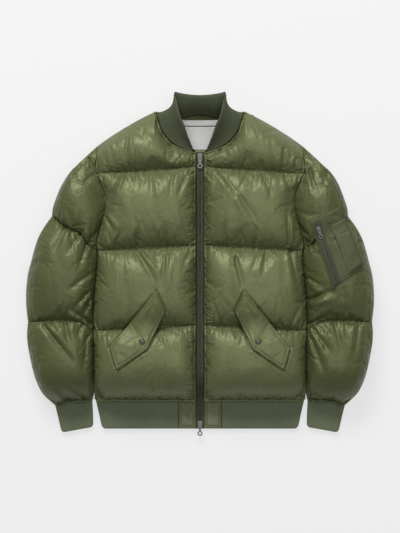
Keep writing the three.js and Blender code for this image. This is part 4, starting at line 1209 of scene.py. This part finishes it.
def snap(side_name, side, surface):
    """A domed snap on a flap."""
    count = SNAP_SIDES
    turn = np.linspace(0, 2 * np.pi, count, endpoint=False)
    x, y = SNAP_PLACE
    base = heights(surface, np.array([[[x, y]]], float), side)[0, 0]
    points = [(x + r * math.cos(a), y + r * math.sin(a), base + z) for r, z in SNAP_PROFILE for a in turn]
    last = (len(SNAP_PROFILE) - 1) * count
    faces = [(k + i, k + (i + 1) % count, k + count + (i + 1) % count, k + count + i)
             for k in range(0, last, count) for i in range(count)]
    faces += [tuple(range(count))[::-1], tuple(range(last, last + count))]
    piece = solid(f"snap_{side_name}_domed", points, faces, snap_metal, side)
    declare(piece, f"snap_{side_name}")


def seam_strip(name, line, surface, lift, look, material, side=1):
    """A rounded strip of cloth along a seam, over the pieces that meet there."""
    length = np.linalg.norm(np.diff(line, axis=0), axis=1).sum()
    line = straight(line, np.linspace(0, 1, round(length / STRIP["cell"])))
    run = np.gradient(line, axis=0)
    aside = np.stack([-run[:, 1], run[:, 0]], -1) / np.linalg.norm(run, axis=1, keepdims=True)
    size = STRIP["wander_size"]
    wander = np.array([look["wander"] * noise.noise((x / size, y / size, STRIP["wander_seed"]))
                       for x, y in line])
    offsets = np.linspace(-look["width"] / 2, look["width"] / 2, STRIP["columns"])
    plan = line[None] + (offsets[:, None] + wander)[..., None] * aside[None]
    ground = spanned(np.maximum(heights(surface, plan, side), 0), STRIP["passes"]).mean(0) + lift
    under = np.repeat(ground[None], len(offsets), 0)
    piece = patch(name, plan, under, look, material, side=side)


def flap(side_name, side, front):
    plan = flap_plan()
    under = spanned(heights(surface_of(front), plan, side)) + LAID_LIFT
    piece = patch(f"flap_{side_name}_stitched", plan, under, FLAP, nylon, f"flap_{side_name}",
                  side, FLAP_FOLDS)
    surface = surface_of(piece)
    sew_border(surface, FLAP, FLAP["corners"], side)
    snap(side_name, side, surface)


def hem_tab(side_name, side):
    corners = [(HEM_TAB["from"], HEM_SEAM - SEAM_GAP), (HEM_TAB["to"], HEM_SEAM - SEAM_GAP),
               (HEM_TAB["to"], HEM_END), (HEM_TAB["from"], HEM_END)]
    plan = quad_plan(corners, HEM_TAB["cell"])
    under = layer_height(plan[..., 1]) + LAYER_GAP / 2
    piece = patch(f"hem_tab_{side_name}_stitched", plan, under, HEM_TAB, tab_nylon,
                  f"hem_tab_{side_name}", side, HEM_TAB_FOLDS[side_name])
    sew_border(surface_of(piece), HEM_TAB, corners, side)
    return piece


def tape_height(y):
    lift = lerp(TAPE["hem_lift"], TAPE["lift"], smooth((y - HEM_SEAM) / TAPE["ramp"]))
    return layer_height(y) + LAYER_GAP / 2 + lift


def zip_fastener():
    half, top, bottom = ZIP_EDGE - SEAM_GAP, TAPE["top"], TAPE["bottom"]
    plan = quad_plan([(-half, top), (half, top), (half, bottom), (-half, bottom)], TAPE["cell"])
    under = tape_height(plan[..., 1])
    piece = patch("zip_tape_woven", plan, under, TAPE, tape_cloth, "zip_tape")
    y = np.linspace(TEETH["top"], TEETH["bottom"], TEETH["points"])
    line = np.stack([0 * y, y, tape_height(y) + TAPE["thickness"] + TEETH["lift"]], -1)
    line_piece("zip_teeth", [line], TEETH_TREE, teeth_plastic, "zip_tape", **TEETH_SIZES)


def sleeve_pocket(sleeve):
    """The pocket, its zip and the pen pocket, fitted to the height of the model's own slider."""
    plan = quad_plan(POCKET["corners"], POCKET["cell"])
    under = spanned(heights(surface_of(sleeve), plan)) + LAID_LIFT
    model = heights(surface_of(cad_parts["sleeve_pocket"]), plan)
    near = np.exp(-(np.linalg.norm(plan - POCKET_SLIDER_PLACE, axis=2) / POCKET["fitted"]) ** 2)
    there = near == near.max()
    under += near * (model[there][0] - POCKET["thickness"] - under[there][0])
    piece = patch("sleeve_pocket_stitched", plan, under, POCKET, pocket_nylon, "sleeve_pocket",
                  folds=POCKET_FOLDS)
    surface = surface_of(piece)
    sew_border(surface, POCKET, POCKET["corners"])
    for name, look, material, slot, replaced, folds in (
            ("pen_pocket_stitched", PEN_POCKET, pocket_nylon, "shell", "pen_pocket", PEN_FOLDS),
            ("pocket_zip_tape_woven", POCKET_ZIP, tape_cloth, "zip_tape", "pocket_zip_tape", ())):
        plan = quad_plan(POCKET["corners"], look["cell"], look["across"], look["down"])
        under = spanned(heights(surface, plan), ON_POCKET["passes"]) + ON_POCKET["lift"]
        part = patch(name, plan, under, look, material, replaced, folds=folds)
    middle = plan[2:-2, plan.shape[1] // 2]
    line = np.column_stack([middle, heights(surface_of(part), middle) + POCKET_ZIP["teeth_lift"]])
    line_piece("pocket_zip_teeth", [line], TEETH_TREE, teeth_plastic, "zip_tape", **POCKET_TEETH_SIZES)


def labels(back):
    surface = surface_of(back)
    for name, look in LABELS.items():
        plan = quad_plan(look["corners"], look["cell"])
        under = heights(surface, plan) + look["lift"]
        piece = patch(name, plan, under, look, label_cloth, "neck_label")


nylon = fabric("nylon", (0.094, 0.106, 0.046), **SATIN)
# Painted shade: the sleeves take the body's nylon in a darker colour, a shaded copy of it.
shaded_sleeve_nylon = fabric("shaded_sleeve_nylon", (0.061, 0.07, 0.027), **SATIN)
tab_nylon = fabric("tab_nylon", (0.122, 0.137, 0.064), 0.5, 0.6, shine=0.5, crumple=1.3)
pocket_nylon = fabric("pocket_nylon", (0.062, 0.071, 0.029), 0.6, 0.7, shine=0.3, crumple=0.8)
# Painted light and shade: one rib knit in two copies, painted lighter for the hem and cuffs and darker for
# the collar.
lit_rib_knit = fabric("lit_rib_knit", (0.125, 0.148, 0.09), 0.9, 0.9, shine=0.15)
shaded_collar_knit = fabric("shaded_collar_knit", (0.066, 0.076, 0.043), 0.9, 0.9, shine=0.15)
tape_cloth = fabric("tape_cloth", (0.048, 0.055, 0.034), 0.8, 0.7, shine=0.15)
label_cloth = fabric("label_cloth", (0.42, 0.425, 0.415), 0.85, 0.6, cloudiness=0.02, shine=0.2)
teeth_plastic = plain_material("teeth_plastic", (0.04, 0.043, 0.03), 0.4)
zip_metal = plain_material("zip_metal", (0.13, 0.13, 0.115), 0.34, 0.7)
snap_metal = plain_material("snap_metal", (0.06, 0.066, 0.035), 0.35, 0.2)
thread = fabric("thread", (0.06, 0.068, 0.028), 0.6, 0.4)

RIBS = rib_tree()
TEETH_TREE = teeth_tree()
for cad_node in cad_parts.values():
    cad_node.data.materials.clear()
    cad_node.data.materials.append(zip_metal)

back = close_panel(back_surface(), "back", -1, nylon, dip=neck_dip)
labels(back)
sleeves = {}
for side_name, side, front_folds, sleeve_folds in (
        ("right", -1, FRONT_RIGHT_FOLDS, SLEEVE_RIGHT_FOLDS),
        ("left", 1, FRONT_LEFT_FOLDS, SLEEVE_LEFT_FOLDS)):
    front = close_panel(front_surface(side, front_folds), f"front_{side_name}", 1, nylon, side)
    flap(side_name, side, front)
    front_top = surface_of(front)
    stitched_x = ZIP_EDGE + ZIP_STITCHES["beside"]
    foot = HEM_SEAM + ZIP_STITCHES["above_hem"]
    sew(front_top, [(stitched_x, ZIP_STITCHES["top"]), (stitched_x, foot)], side)
    upper = sleeve_surface(side, 1, sleeve_folds)
    sleeve = close_panel(upper, f"sleeve_{side_name}_top", 1, shaded_sleeve_nylon, side)
    close_panel(sleeve_surface(side, -1, []), f"sleeve_{side_name}_under", -1, shaded_sleeve_nylon, side)
    sleeves[side_name] = sleeve
    hem_name = f"hem_front_{side_name}"
    hem = hem_band(f"{hem_name}_ribbed", HEM_TAB["to"] + SEAM_GAP, 1, side, hem_name)
    tab = hem_tab(side_name, side)
    seam_strip(f"hem_seam_{side_name}", HEM_STRIP_LINE, surface_of(front, hem, tab), STRIP_LIFT["hem"],
               HEM_STRIP, nylon, side)
    shares = np.linspace(NECK_CORD_LINE["from"], NECK_CORD_LINE["to"], NECK_CORD_LINE["points"])
    neck_line = along(NECK, shares) + NECK_CORD_LINE["aside"]
    seam_strip(f"neck_cord_{side_name}", neck_line, front_top, STRIP_LIFT["neck"], NECK_CORD, nylon, side)
    knit_cuff = cuff(f"cuff_{side_name}_ribbed", side, f"cuff_{side_name}")
    seam_strip(f"cuff_seam_{side_name}", CUFF_STRIP_LINE, surface_of(sleeve, knit_cuff), STRIP_LIFT["cuff"],
               HEM_STRIP, shaded_sleeve_nylon, side)
hem_band("hem_back_ribbed", 0, -1, 1, "hem_back")
collar()
zip_fastener()
sleeve_pocket(sleeves["left"])
line_piece("stitches", stitch_lines, stitch_tree(), thread, "shell", **STITCH_SIZES)

# Stage. The floor is grey with a glow of its own, so that it is pale and still shows soft shadows.
FLOOR = {"half": 4, "height": -0.0005, "grey": (0.2, 0.2, 0.2), "roughness": 0.95, "glow": 0.64}
WHITE = (1, 1, 1, 1)
WORLD_LIGHT = 0.3
LIGHTS = [("key", (-0.9, 3.8, 3.2), (2.6, 1.5), 230), ("overhead", (0.8, 0.4, 5.0), (3.5, 3.5), 84)]
LIT_PLACE = (0, 0, 0.05)
PIXEL = 2.25 * MM
PHOTO_WIDTH = 400
PHOTO_MIDDLE = (0, -2.25)
DISTANCE = 4.5
SENSOR_WIDTH = 36

floor_corners = [(x * FLOOR["half"], y * FLOOR["half"], FLOOR["height"])
                 for x, y in ((-1, -1), (1, -1), (1, 1), (-1, 1))]
floor = mesh_object("floor", np.array(floor_corners), [], [(0, 1, 2, 3)])
floor_paint = plain_material("floor", FLOOR["grey"], FLOOR["roughness"])
floor_shader = floor_paint.node_tree.nodes["Principled BSDF"]
floor_shader.inputs["Emission Color"].default_value = WHITE
floor_shader.inputs["Emission Strength"].default_value = FLOOR["glow"]
floor.data.materials.append(floor_paint)

world = bpy.data.worlds.new("studio")
bpy.context.scene.world = world
world.use_nodes = True
world.node_tree.nodes["Background"].inputs["Color"].default_value = WHITE
world.node_tree.nodes["Background"].inputs["Strength"].default_value = WORLD_LIGHT

for name, place, size, power in LIGHTS:
    light = bpy.data.lights.new(name, "AREA")
    light.shape = "RECTANGLE"
    light.size, light.size_y = size
    light.energy = power
    lamp = add_object(name, light)
    lamp.location = place
    lamp.rotation_euler = (Vector(LIT_PLACE) - Vector(place)).to_track_quat("-Z", "Y").to_euler()

camera_data = bpy.data.cameras.new("camera")
camera_data.sensor_fit = "HORIZONTAL"
camera_data.sensor_width = SENSOR_WIDTH
camera_data.lens = SENSOR_WIDTH * DISTANCE / (PHOTO_WIDTH * PIXEL)
camera = add_object("camera", camera_data)
camera.location = (PHOTO_MIDDLE[0] * MM, PHOTO_MIDDLE[1] * MM + PLAN_Y, DISTANCE + REST_HEIGHT * MM)
bpy.context.scene.camera = camera
bpy.context.scene.view_settings.view_transform = "Standard"
